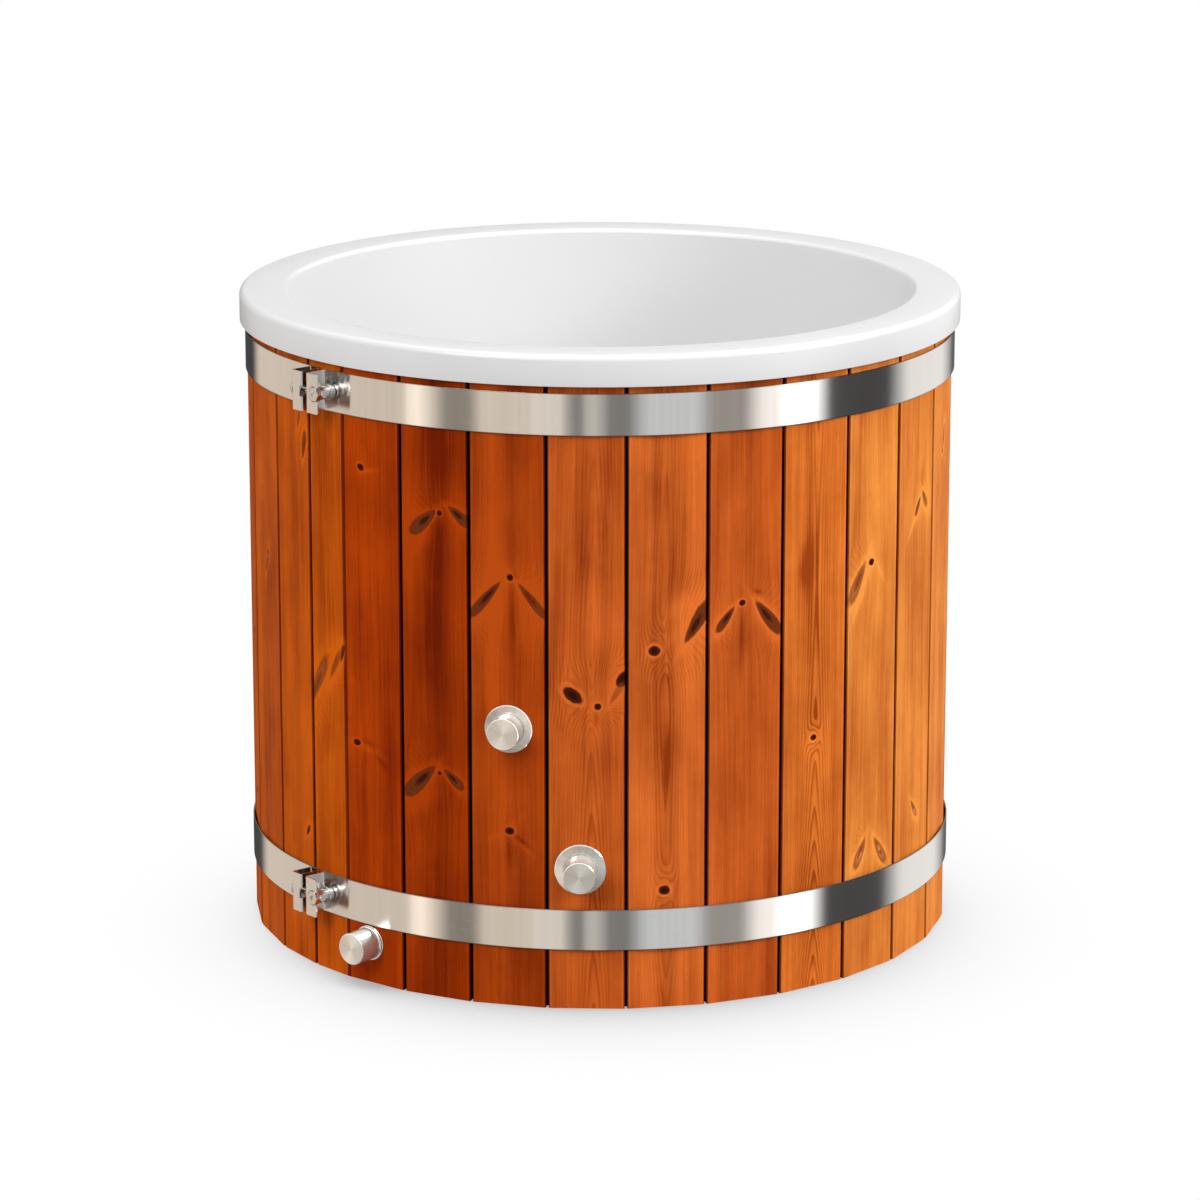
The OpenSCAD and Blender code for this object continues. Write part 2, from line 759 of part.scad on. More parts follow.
module drain_nut() {
    color("#dcdcda") at_outlet() translate([0, 0, liner_bottom - seat - outlet_nut_h])
        difference() {
            cylinder(r = outlet_nut_hex / cos(30) / 2, h = outlet_nut_h, $fn = 6);
            translate([0, 0, -over]) cylinder(d = pipe_d + 2 * run, h = outlet_nut_h + 2 * over);
        }
}

// Slotted disc whose short skirt drops into the outlet
module drain_strainer() {
    skirt_d = pipe_bore - 2 * fit;
    slot_l = pipe_bore / 2 - strainer_edge - strainer_hub_r;
    color("#c8cacb") at_outlet() translate([0, 0, outlet_top + seat])
        difference() {
            union() {
                cylinder(d1 = strainer_d, d2 = strainer_d - strainer_t, h = strainer_t);
                translate([0, 0, -2 * strainer_t])
                    ring(skirt_d, skirt_d - strainer_t, 2.5 * strainer_t);
            }
            for (k = [0 : strainer_slots - 1])
                rotate([0, 0, k * 360 / strainer_slots])
                    translate([strainer_hub_r, -strainer_slot_w / 2, -over])
                        cube([slot_l, strainer_slot_w, strainer_t + 2 * over]);
        }
}

// Bend from the upright outlet to the level pipe, with a socket at each end
module drain_elbow() {
    color("#8d9194") at_drain() translate([0, 0, -drain_inset]) {
        translate([0, bend_r, bend_r]) rotate([0, 90, 0]) rotate([0, 0, -90])
            rotate_extrude(angle = 90)
                translate([bend_r, 0]) difference() {
                    circle(d = elbow_d - 2 * over);
                    circle(d = pipe_bore);
                }
        translate([0, 0, bend_r]) elbow_socket();
        translate([0, bend_r, 0]) rotate([-90, 0, 0]) elbow_socket();
    }
}

module elbow_socket() {
    difference() {
        cylinder(d = elbow_d, h = socket_l);
        translate([0, 0, -over]) cylinder(d = pipe_bore, h = socket_l);
        translate([0, 0, pipe_seat - seat]) cylinder(d = pipe_d + 2 * run, h = socket_l);
    }
}

// Pipe from the elbow to the thread that carries the flange and the cap
module drain_pipe() {
    start = bend_r + pipe_seat - drain_inset;
    tip = drain_cap_out - cap_end_t - cap_seal_t - 2 * seat;
    inner = -stave_t - seat;
    color("#c4c6c7") at_drain() difference() {
        union() {
            translate([0, 0, start]) cylinder(d = pipe_d, h = inner - start);
            translate([0, 0, inner - pipe_collar_t]) cylinder(d = pipe_collar_d, h = pipe_collar_t);
            translate([0, 0, inner - over]) cylinder(d = thread_d, h = tip - spigot_chamfer - inner + over);
            translate([0, 0, tip - spigot_chamfer])
                cylinder(d1 = thread_d, d2 = thread_d - 2 * spigot_chamfer, h = spigot_chamfer);
        }
        translate([0, 0, start - over]) cylinder(d = pipe_bore, h = tip - start + 2 * over);
        translate([0, 0, 0]) cylinder(d = port_bore, h = tip + over);
    }
}

// Round nut with a rounded edge, a hollow flare and a grooved neck
module drain_flange() {
    rim = drain_flange_d / 2;
    edge = flange_edge_t / 2;
    neck = neck_d / 2;
    hole = flange_bore_d / 2;
    flare_r = rim - edge - neck;
    color("#d5d7d8") at_drain() rotate_extrude() {
        translate([hole, seat]) square([rim - edge - hole, 2 * edge]);
        translate([rim - edge, edge + seat]) circle(edge);
        difference() {
            translate([hole, seat]) square([rim - edge - hole, 2 * edge + flare_r]);
            translate([rim - edge, 2 * edge + seat + flare_r]) circle(flare_r);
        }
        translate([hole, seat]) square([neck - hole, drain_neck_h - neck_gap]);
    }
}

module drain_cap() { at_drain() screw_cap(drain_cap_out, drain_neck_h); }

module drain_cap_seal() { at_drain() cap_seal(drain_cap_out); }

for (i = [1 : stave_count]) stave(i);
bearers();
floor_boards();
floor_foam();
wall_foam();
liner();
hoop_upper();
hoop_lower();
tension_bolts();
barrel_nuts();
clamp_washers();
upper_spigot();
upper_flange();
upper_cap();
upper_cap_seal();
lower_spigot();
lower_flange();
lower_cap();
lower_cap_seal();
port_gaskets();
port_grilles();
drain_strainer();
drain_outlet();
drain_gasket();
drain_nut();
drain_elbow();
drain_pipe();
drain_flange();
drain_cap();
drain_cap_seal();
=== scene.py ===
"""Looks of a round cold plunge tub: stained pine staves, white liner, steel hoops, ports and drain.

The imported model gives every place. This file dresses its pieces, puts finer meshes in the place of
some, and sets up a pale studio with the camera at the photograph's angle. Lengths are in metres.
"""

from __future__ import annotations

import json
import logging
import math
import random
from dataclasses import dataclass, field
from enum import Enum
from typing import Callable, Sequence, Union

import bmesh
import bpy
from bmesh.types import BMesh, BMVert
from bpy.types import ColorRamp, ID, Material, Mesh, Node, NodeSocket, NodeTree, Object
from mathutils import Matrix, Vector

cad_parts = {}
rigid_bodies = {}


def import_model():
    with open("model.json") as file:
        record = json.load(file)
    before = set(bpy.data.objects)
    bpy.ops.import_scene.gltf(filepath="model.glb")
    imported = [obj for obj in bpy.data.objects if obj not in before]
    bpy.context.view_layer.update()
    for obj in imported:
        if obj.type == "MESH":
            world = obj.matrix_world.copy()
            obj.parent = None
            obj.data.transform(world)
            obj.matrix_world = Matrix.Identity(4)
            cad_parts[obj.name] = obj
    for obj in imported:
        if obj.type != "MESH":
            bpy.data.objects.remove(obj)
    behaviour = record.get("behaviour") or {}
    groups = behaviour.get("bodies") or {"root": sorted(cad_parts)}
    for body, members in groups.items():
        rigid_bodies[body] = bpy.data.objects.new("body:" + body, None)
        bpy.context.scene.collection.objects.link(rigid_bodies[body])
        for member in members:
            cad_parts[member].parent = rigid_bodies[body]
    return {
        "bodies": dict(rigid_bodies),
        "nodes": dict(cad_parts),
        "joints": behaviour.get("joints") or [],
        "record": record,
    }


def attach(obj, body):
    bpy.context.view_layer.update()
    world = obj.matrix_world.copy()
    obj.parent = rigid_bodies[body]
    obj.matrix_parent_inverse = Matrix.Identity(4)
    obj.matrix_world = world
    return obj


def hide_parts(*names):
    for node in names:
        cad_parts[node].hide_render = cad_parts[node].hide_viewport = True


log = logging.getLogger("tub")

Colour = tuple[float, float, float]
Number = Union[int, float]

SMOOTH_ANGLE = 32.0


# Shader and node helpers


def arithmetic(operation: str, swapped: bool = False) -> Callable[[Sock, Value], Sock]:
    """Makes the method behind one of Python's operators.

    Args:
        operation: The Math node's operation.
        swapped: Whether the socket stands on the operator's right.

    Returns:
        The method.
    """
    def method(self: Sock, other: Value) -> Sock:
        """Adds the Math node."""
        values = {0: other, 1: self} if swapped else {0: self, 1: other}
        return self.graph.out("ShaderNodeMath", {"operation": operation}, values)

    return method


class Sock:
    """One output socket, on which Python's operators add Math nodes."""

    def __init__(self, graph: Graph, socket: NodeSocket) -> None:
        """Wraps an output socket of a graph."""
        self.graph = graph
        self.socket = socket

    __add__ = __radd__ = arithmetic("ADD")
    __sub__, __rsub__ = arithmetic("SUBTRACT"), arithmetic("SUBTRACT", swapped=True)
    __mul__ = __rmul__ = arithmetic("MULTIPLY")
    __truediv__, __rtruediv__ = arithmetic("DIVIDE"), arithmetic("DIVIDE", swapped=True)
    __pow__ = arithmetic("POWER")

    def __neg__(self) -> Sock:
        """Opposite."""
        return self * -1

    def math(self, operation: str, *others: Value, clamp: bool = False) -> Sock:
        """Adds a Math node whose first value is this socket."""
        settings = {"operation": operation, "use_clamp": clamp}
        return self.graph.out("ShaderNodeMath", settings, dict(enumerate((self, *others))))

    def band(self, low: float, high: float) -> Sock:
        """Rises smoothly from 0 to 1 between two values, and falls where low is above high."""
        start, end = (0.0, 1.0) if low <= high else (1.0, 0.0)
        return self.graph.out("ShaderNodeMapRange", {"interpolation_type": "SMOOTHSTEP"},
                              {0: self, 1: min(low, high), 2: max(low, high), 3: start, 4: end})

    def bell(self) -> Sock:
        """1 at zero, falling away on both sides like exp(-v)."""
        return (-self).math("EXPONENT")


Value = Union[Sock, Number, Sequence[float], Material]


class Graph:
    """A node tree under construction, for shaders and for geometry."""

    def __init__(self, tree: NodeTree) -> None:
        """Starts on a tree, whose nodes are removed."""
        tree.nodes.clear()
        self.tree = tree

    def node(self, kind: str, settings: dict | None = None, values: dict | None = None) -> Node:
        """Adds a node.

        Args:
            kind: The node's type.
            settings: Its properties, set first. "stops" are a colour ramp's (place, colour) pairs.
            values: Its sockets by name or number, each given a value or a link.

        Returns:
            The node.
        """
        made = self.tree.nodes.new(kind)
        for key, value in (settings or {}).items():
            if key == "stops":
                self._stops(made.color_ramp, value)
            else:
                setattr(made, key, value)
        for key, value in (values or {}).items():
            if isinstance(value, Sock):
                self.tree.links.new(value.socket, made.inputs[key])
            elif isinstance(value, NodeSocket):
                self.tree.links.new(value, made.inputs[key])
            else:
                made.inputs[key].default_value = value
        return made

    @staticmethod
    def _stops(ramp: ColorRamp, stops: Sequence[tuple[float, Colour]]) -> None:
        """Gives a ramp its stops, in rising order."""
        while len(ramp.elements) < len(stops):
            ramp.elements.new(1.0)
        for element, (place, colour) in zip(ramp.elements, stops):
            element.position = place
            element.color = (*colour, 1.0)

    def out(self, kind: str, settings: dict | None = None, values: dict | None = None,
            port: int = 0) -> Sock:
        """Adds a node and gives back one of its outputs."""
        return Sock(self, self.node(kind, settings, values).outputs[port])

    def place(self) -> Sock:
        """Object coordinates."""
        return self.out("ShaderNodeTexCoord", port=3)

    def turned(self, turn: Sequence[float], shift: Sequence[float] = (0, 0, 0)) -> Sock:
        """Object coordinates through a Mapping node."""
        return self.out("ShaderNodeMapping", {"vector_type": "POINT"},
                        {"Vector": self.place(), "Rotation": turn, "Location": shift})

    def split(self, vector: Sock) -> tuple[Sock, Sock, Sock]:
        """The three parts of a vector."""
        made = self.node("ShaderNodeSeparateXYZ", values={0: vector})
        return tuple(Sock(self, s) for s in made.outputs)

    def join(self, x: Value, y: Value, z: Value) -> Sock:
        """A vector from its three parts."""
        return self.out("ShaderNodeCombineXYZ", values={0: x, 1: y, 2: z})

    def stretch(self, vector: Sock, scale: Sequence[float],
                shift: Sequence[float] = (0, 0, 0)) -> Sock:
        """A vector scaled along each axis and moved."""
        return self.out("ShaderNodeVectorMath", {"operation": "MULTIPLY_ADD"},
                        {0: vector, 1: scale, 2: shift})

    def noise(self, vector: Sock, scale: float = 1.0, detail: float = 2.0,
              rough: float = 0.5) -> Sock:
        """Smooth noise, mostly between 0.25 and 0.75."""
        return self.out("ShaderNodeTexNoise", values={
            "Vector": vector, "Scale": scale, "Detail": detail, "Roughness": rough})

    def mix(self, share: Value, first: Value, second: Value) -> Sock:
        """A blend of two colours."""
        ends = [(*c, 1.0) if isinstance(c, tuple) else c for c in (first, second)]
        return self.out("ShaderNodeMix", {"data_type": "RGBA"},
                        {0: share, 6: ends[0], 7: ends[1]}, 2)

    def scaled(self, colour: Sock, factor: Value) -> Sock:
        """A colour made lighter or darker."""
        return self.out("ShaderNodeVectorMath", {"operation": "SCALE"}, {0: colour, 3: factor})

    def bump(self, height: Sock, distance: float, strength: float) -> Sock:
        """A surface normal from a height between 0 and 1."""
        return self.out("ShaderNodeBump", values={
            "Strength": strength, "Distance": distance, "Height": height})


def new_material(name: str) -> tuple[Material, Graph]:
    """Makes a material with an empty node graph.

    Args:
        name: The material's name.

    Returns:
        The material and its graph.
    """
    material = bpy.data.materials.new(name)
    material.use_nodes = True
    return material, Graph(material.node_tree)


def dimmed(colour: Colour, share: float) -> Colour:
    """A colour with each part multiplied by a share."""
    return tuple(part * share for part in colour)


# Finishes


class Finish:
    """A finish that is one Principled shader, whose values a subclass gives."""

    def make(self, name: str) -> Material:
        """Builds the material.

        Args:
            name: The material's name.

        Returns:
            The material.
        """
        material, graph = new_material(name)
        shader = graph.node("ShaderNodeBsdfPrincipled", values=self.shader(graph))
        graph.node("ShaderNodeOutputMaterial", values={"Surface": shader.outputs[0]})
        return material

    def shader(self, g: Graph) -> dict[str, Value]:
        """The shader's values by the names of its sockets."""
        raise NotImplementedError


class Tone(Enum):
    """Depth of the stain on a board: the mean colour of its wood."""

    MAHOGANY = (0.350, 0.034, 0.0006)
    RED_BROWN = (0.435, 0.044, 0.0006)
    CHESTNUT = (0.415, 0.051, 0.0030)
    BROWN = (0.525, 0.080, 0.0020)
    TAWNY = (0.540, 0.092, 0.0110)
    RUSSET = (0.595, 0.112, 0.0150)
    ORANGE = (0.680, 0.150, 0.0180)
    AMBER = (0.880, 0.205, 0.0300)

    def wood(self, share: float) -> Colour:
        """Colour of the dark (0) to the light (1) wood; the mean lies at 0.55."""
        low, high = (0.50, 0.36, 0.28), (1.36, 1.60, 1.90)
        return tuple(min(0.95, c * (a + (b - a) * share)) for c, a, b in zip(self.value, low, high))


@dataclass(frozen=True)
class Figure:
    """How a board was cut from the log: where its growth rings lie and how plainly they show.

    The rings are cones round the pith, which lies "depth" behind the face and "offset" beside its
    middle. "taper" is how fast they narrow upwards, and "bow" lets them narrow both ways from
    "peak". "core" is the half width round the pith where they show most, or 0 for all over.
    """

    depth: float = 0.03
    taper: float = 0.012
    peak: float = 0.5
    bow: float = 0.0
    offset: float = 0.0
    spacing: float = 0.0036
    strength: float = 0.4
    wobble: float = 0.5
    core: float = 0.0


FLAT = Figure(offset=-0.105, taper=0.006, strength=0.26)
FLAT_RIGHT = Figure(offset=0.11, taper=-0.008, strength=0.26, spacing=0.0039)
PEAKED = Figure(depth=0.009, taper=0.036, bow=-0.012, peak=0.708, offset=0.0105, spacing=0.0044,
                strength=1.05, core=0.019)
POINTED = Figure(depth=0.008, bow=-0.095, taper=0.0, peak=0.640, offset=0.004, spacing=0.0042,
                 strength=1.2, core=0.022)
FINE = Figure(depth=0.010, bow=0.055, taper=0.0, peak=0.556, strength=0.62, core=0.022)
EDGED = Figure(offset=-0.10, taper=0.012, spacing=0.0032, strength=0.36)


class Growth(Enum):
    """What a mark in the wood is."""

    ROUND = "a branch cut across"
    SPIKE = "a branch cut along, shown as a dark leaf"
    PALE = "a branch cut along, shown as a pale leaf"
    SHADE = "darker or, with a negative depth, lighter wood beside a knot"


@dataclass(frozen=True)
class Knot:
    """A knot on a board's face: its place, half length, half width and direction in degrees."""

    side: float
    height: float
    long: float
    wide: float
    tilt: float = 0.0
    kind: Growth = Growth.ROUND
    depth: float = 1.0


def at(side: float, height: float, long: float, wide: float, tilt: float = 0,
       kind: Growth = Growth.ROUND, depth: float = 1) -> Knot:
    """A knot from millimetres."""
    return Knot(*(length * 0.001 for length in (side, height, long, wide)), tilt, kind, depth)


SPIKE, PALE, SHADE = Growth.SPIKE, Growth.PALE, Growth.SHADE

# The marks on the staves that face the camera, by the staves' numbers.
KNOTS = {
    1: (at(-20, 478, 16, 9, 140), at(16.5, 461, 5.2, 4.8), at(53, 503, 14, 8, 60),
        at(44, 482, 20, 6, 60, PALE, 0.45), at(14, 444, 13, 4, 90, SHADE, 0.9),
        at(14, 440, 30, 26, 90, SHADE, -0.3), at(-6, 540, 190, 12, 90, SHADE, 0.35)),
    2: (at(4, 650, 4.8, 5), at(-34, 615, 36, 9, 230, SPIKE), at(38, 616, 33, 8, -50, SPIKE, 0.8),
        at(12, 652, 6, 4, -40, SHADE, 0.7), at(2, 268, 7, 5.5), at(6, 590, 60, 6, 90, SHADE, 0.6),
        at(1, 238, 34, 5, 90, SHADE, 0.8), at(22, 252, 20, 4, -38, SHADE, 0.9),
        at(26, 244, 20, 5, -38, SHADE, -0.6), at(-20, 258, 16, 5, 20, SHADE, -0.45),
        at(-22, 590, 20, 14, 50, SHADE, -0.4), at(20, 285, 12, 6, 90, SHADE, -0.3)),
    3: (at(9, 737, 4.2, 4.4), at(-19, 721, 27, 12, 222, SPIKE),
        at(-40, 697, 14, 5, 230, SHADE, 0.5), at(42, 735, 22, 10, -36, SPIKE),
        at(-27, 329, 34, 14, 225, SPIKE), at(30, 338, 20, 9, -40, SPIKE),
        at(9, 690, 40, 5, 90, SHADE, 0.7), at(-18, 300, 34, 12, 40, SHADE, -0.45),
        at(-22, 690, 26, 9, 45, SHADE, -0.45), at(6, 345, 3, 3),
        at(4, 520, 300, 16, 90, SHADE, 0.35), at(-40, 520, 400, 9, 90, SHADE, -0.2)),
    4: (at(-20, 788, 6.5, 5, -30), at(-4, 785, 18, 4, 12, SHADE, -0.6), at(-33, 369, 7, 4.8),
        at(-12, 362, 22, 5, -14, SHADE, -0.7), at(10, 350, 18, 4, -40, SHADE, 0.6),
        at(-8, 372, 14, 4, -14, SHADE, 0.5)),
    5: (at(-26, 445, 50, 11, 62, PALE, 0.8), at(16, 480, 26, 7, 62, PALE, 0.7),
        at(33, 500, 14, 5, 75, SPIKE), at(6, 452, 50, 10, 60, SHADE, -0.55),
        at(-10, 400, 30, 16, 60, SHADE, -0.35)),
    6: (at(19, 838, 15, 4, 75, PALE, 0.8), at(34, 801, 22, 7, 80, SPIKE, 0.7),
        at(31, 206, 10, 5, 60, SPIKE)),
    7: (at(1, 594, 20, 6, 68, PALE, 0.9),),
    24: (at(11, 773, 20, 5, 75, PALE), at(6, 753, 6, 3, 60, SPIKE)),
    25: (at(31, 700, 16, 7, -60, PALE, 0.8), at(8, 692, 16, 6, 238, SPIKE, 0.8),
         at(-8, 668, 26, 3, 50, SHADE, -1.0), at(36, 690, 20, 4, -50, SHADE, -0.6),
         at(22, 730, 24, 5, 80, SHADE, 0.4), at(9, 222, 17, 6, -55, PALE),
         at(12, 216, 6, 3, -55, SPIKE)),
    26: (at(-3, 633, 6.2, 5.4), at(-36, 606, 34, 12, 238, PALE, 0.9),
         at(-26, 590, 44, 5, 245, SHADE, -0.9), at(18, 616, 20, 4, -60, SHADE, -0.6),
         at(-22, 187, 24, 10, 240, PALE), at(26, 182, 26, 9, -58, PALE),
         at(-20, 184, 6, 3, 60, SPIKE), at(24, 186, 6, 3, -58, SPIKE),
         at(2, 172, 14, 30, 0, SHADE, -0.3)),
    27: (at(-0.4, 386, 5.5, 4.4), at(-14, 648, 46, 13, 90, SHADE, 1.2),
         at(-24, 636, 20, 8, 90, SHADE, 0.6), at(-6, 376, 26, 12, 80, SHADE, -0.4)),
    28: (at(-5, 606, 5, 4.6), at(-32, 583, 22, 8, 232, SPIKE), at(37, 580, 33, 11, -52, SPIKE),
         at(-5, 565, 44, 5, 90, SHADE, 0.6), at(20, 620, 8, 4, -20, SHADE, 0.8),
         at(24, 588, 16, 14, 0, SHADE, -0.35)),
    29: (at(-19, 543, 8.5, 7.2), at(45, 585, 36, 12, 60, SPIKE), at(-3, 180, 8, 7),
         at(0, 378, 50, 7, 90, SHADE, 0.9), at(20, 610, 26, 16, 40, SHADE, -0.55),
         at(4, 560, 16, 10, 60, SHADE, -0.35), at(2, 500, 10, 3, 90, SHADE, 0.6)),
}


@dataclass(frozen=True)
class Spot:
    """A point of a board as seen from a knot, as sockets inside a knot's node group.

    "dx" and "dz" are metres, "along" and "over" count in half lengths and half widths of the knot,
    and "reach" is the square of its mean size.
    """

    dx: Sock
    dz: Sock
    along: Sock
    over: Sock
    reach: Sock
    ragged: Sock
    depth: Sock
    cosine: Sock

    def far(self, over: Sock, rough: float) -> Sock:
        """Distance from the middle, 1 at the knot's edge, which is as ragged as given."""
        return (self.along * self.along + over * over).math("SQRT") + self.ragged * rough

    def pull(self, share: float) -> Sock:
        """How far the knot pushes the grain aside."""
        room = self.dx * self.dx + self.dz * self.dz * 0.2 + 1e-7
        return self.dx * (self.reach * 0.81 / room).math("MINIMUM", 1.0) * share


@dataclass(frozen=True)
class KnotGroup:
    """A node group that works out what one kind of knot does to the board round it.

    It gives how far the knot pulls the grain aside and swells it, how much it lights the wood, and
    the area, tone and nearness of the knot itself.
    """

    kind: Growth

    ENTRIES = ("X", "Z", "Ragged", "Side", "Height", "Cosine", "Sine", "Long", "Wide", "Depth")
    EXITS = ("Pull", "Light", "Mask", "Tone", "Swell")

    def build(self) -> NodeTree:
        """Builds the group."""
        tree = bpy.data.node_groups.new("pine_" + self.kind.name.lower(), "ShaderNodeTree")
        for way, names in (("INPUT", self.ENTRIES), ("OUTPUT", self.EXITS)):
            for name in names:
                tree.interface.new_socket(name, in_out=way, socket_type="NodeSocketFloat")
        g = Graph(tree)
        entry = g.node("NodeGroupInput")
        x, z, ragged, side, height, c, s, long, wide, depth = (
            Sock(g, entry.outputs[name]) for name in self.ENTRIES)
        dx, dz = x - side, z - height
        size = long * 0.62 + wide * 0.5
        spot = Spot(dx, dz, (dx * c + dz * s) / long, (dz * c - dx * s) / wide, size * size, ragged,
                    depth, c)
        effects = {Growth.SHADE: self._shade, Growth.ROUND: self._round}
        g.node("NodeGroupOutput", values=effects.get(self.kind, self._leaf)(spot))
        return tree

    @staticmethod
    def _shade(spot: Spot) -> dict[str, Sock]:
        """A soft patch of darker or lighter wood."""
        square = spot.along * spot.along + spot.over * spot.over
        return {"Light": square.bell() * spot.depth * -0.55}

    @staticmethod
    def _round(spot: Spot) -> dict[str, Sock]:
        """A branch cut across: nearly black with faint rings, and a pale ring of wood round it."""
        far = spot.far(spot.over, 0.9)
        flat = spot.dx * spot.dx * (1 / 2.1 ** 2) + spot.dz * spot.dz * (1 / 3.0 ** 2)
        near = (flat / spot.reach).bell()
        mask = far.band(1.12, 0.88) * spot.depth
        ring = far - 1.34
        tone = 0.22 - far.band(0.85, 0.2) * 0.17 + (far * 14.0).math("SINE") * 0.03
        light = ((ring * ring * 16).bell() * 0.40 + near * 0.16) * (1 - mask)
        return {"Pull": spot.pull(0.9), "Light": light, "Mask": mask, "Tone": tone * mask,
                "Swell": near * 3.4}

    def _leaf(self, spot: Spot) -> dict[str, Sock]:
        """A branch cut along: a leaf that widens outwards, with a heart, and bright wood by it."""
        along, over, pale = spot.along, spot.over, self.kind is Growth.PALE
        near = (along * along * 0.32 + over * over * 0.10).bell()
        over = over / (along * 0.26 + 0.80).math("MAXIMUM", 0.2)
        far = spot.far(over, 0.6)
        mask = (far.band(1.25, 0.60) if pale else far.band(1.12, 0.84)) * spot.depth
        below = (over * -spot.cosine.math("SIGN")).band(-0.2, 0.7)
        rim = far - 1.22
        bright = (rim * rim * 34).bell() * (below * 0.42 + 0.06) * (0.5 if pale else 1.0)
        bright = bright + (rim * rim * 1.8).bell() * 0.24 + near * 0.16
        heart = along + 0.18
        core = (heart * heart * 3.4 + over * over * 3.4).math("SQRT")
        grown = (core * 12.0).math("SINE") * 0.04
        if pale:
            tone = 0.88 + grown - core.band(1.3, 0.5) * 0.20 - far.band(0.80, 1.0) * 0.08
        else:
            tone = 0.52 + grown - core.band(1.20, 0.35) * 0.36 - far.band(0.82, 1.0) * 0.10
        return {"Pull": spot.pull(0.55), "Light": bright * (1 - mask), "Mask": mask,
                "Tone": tone * mask, "Swell": near * 4.6}

    @classmethod
    def all(cls) -> dict[Growth, NodeTree]:
        """The groups of every kind of knot."""
        return {kind: cls(kind).build() for kind in Growth}


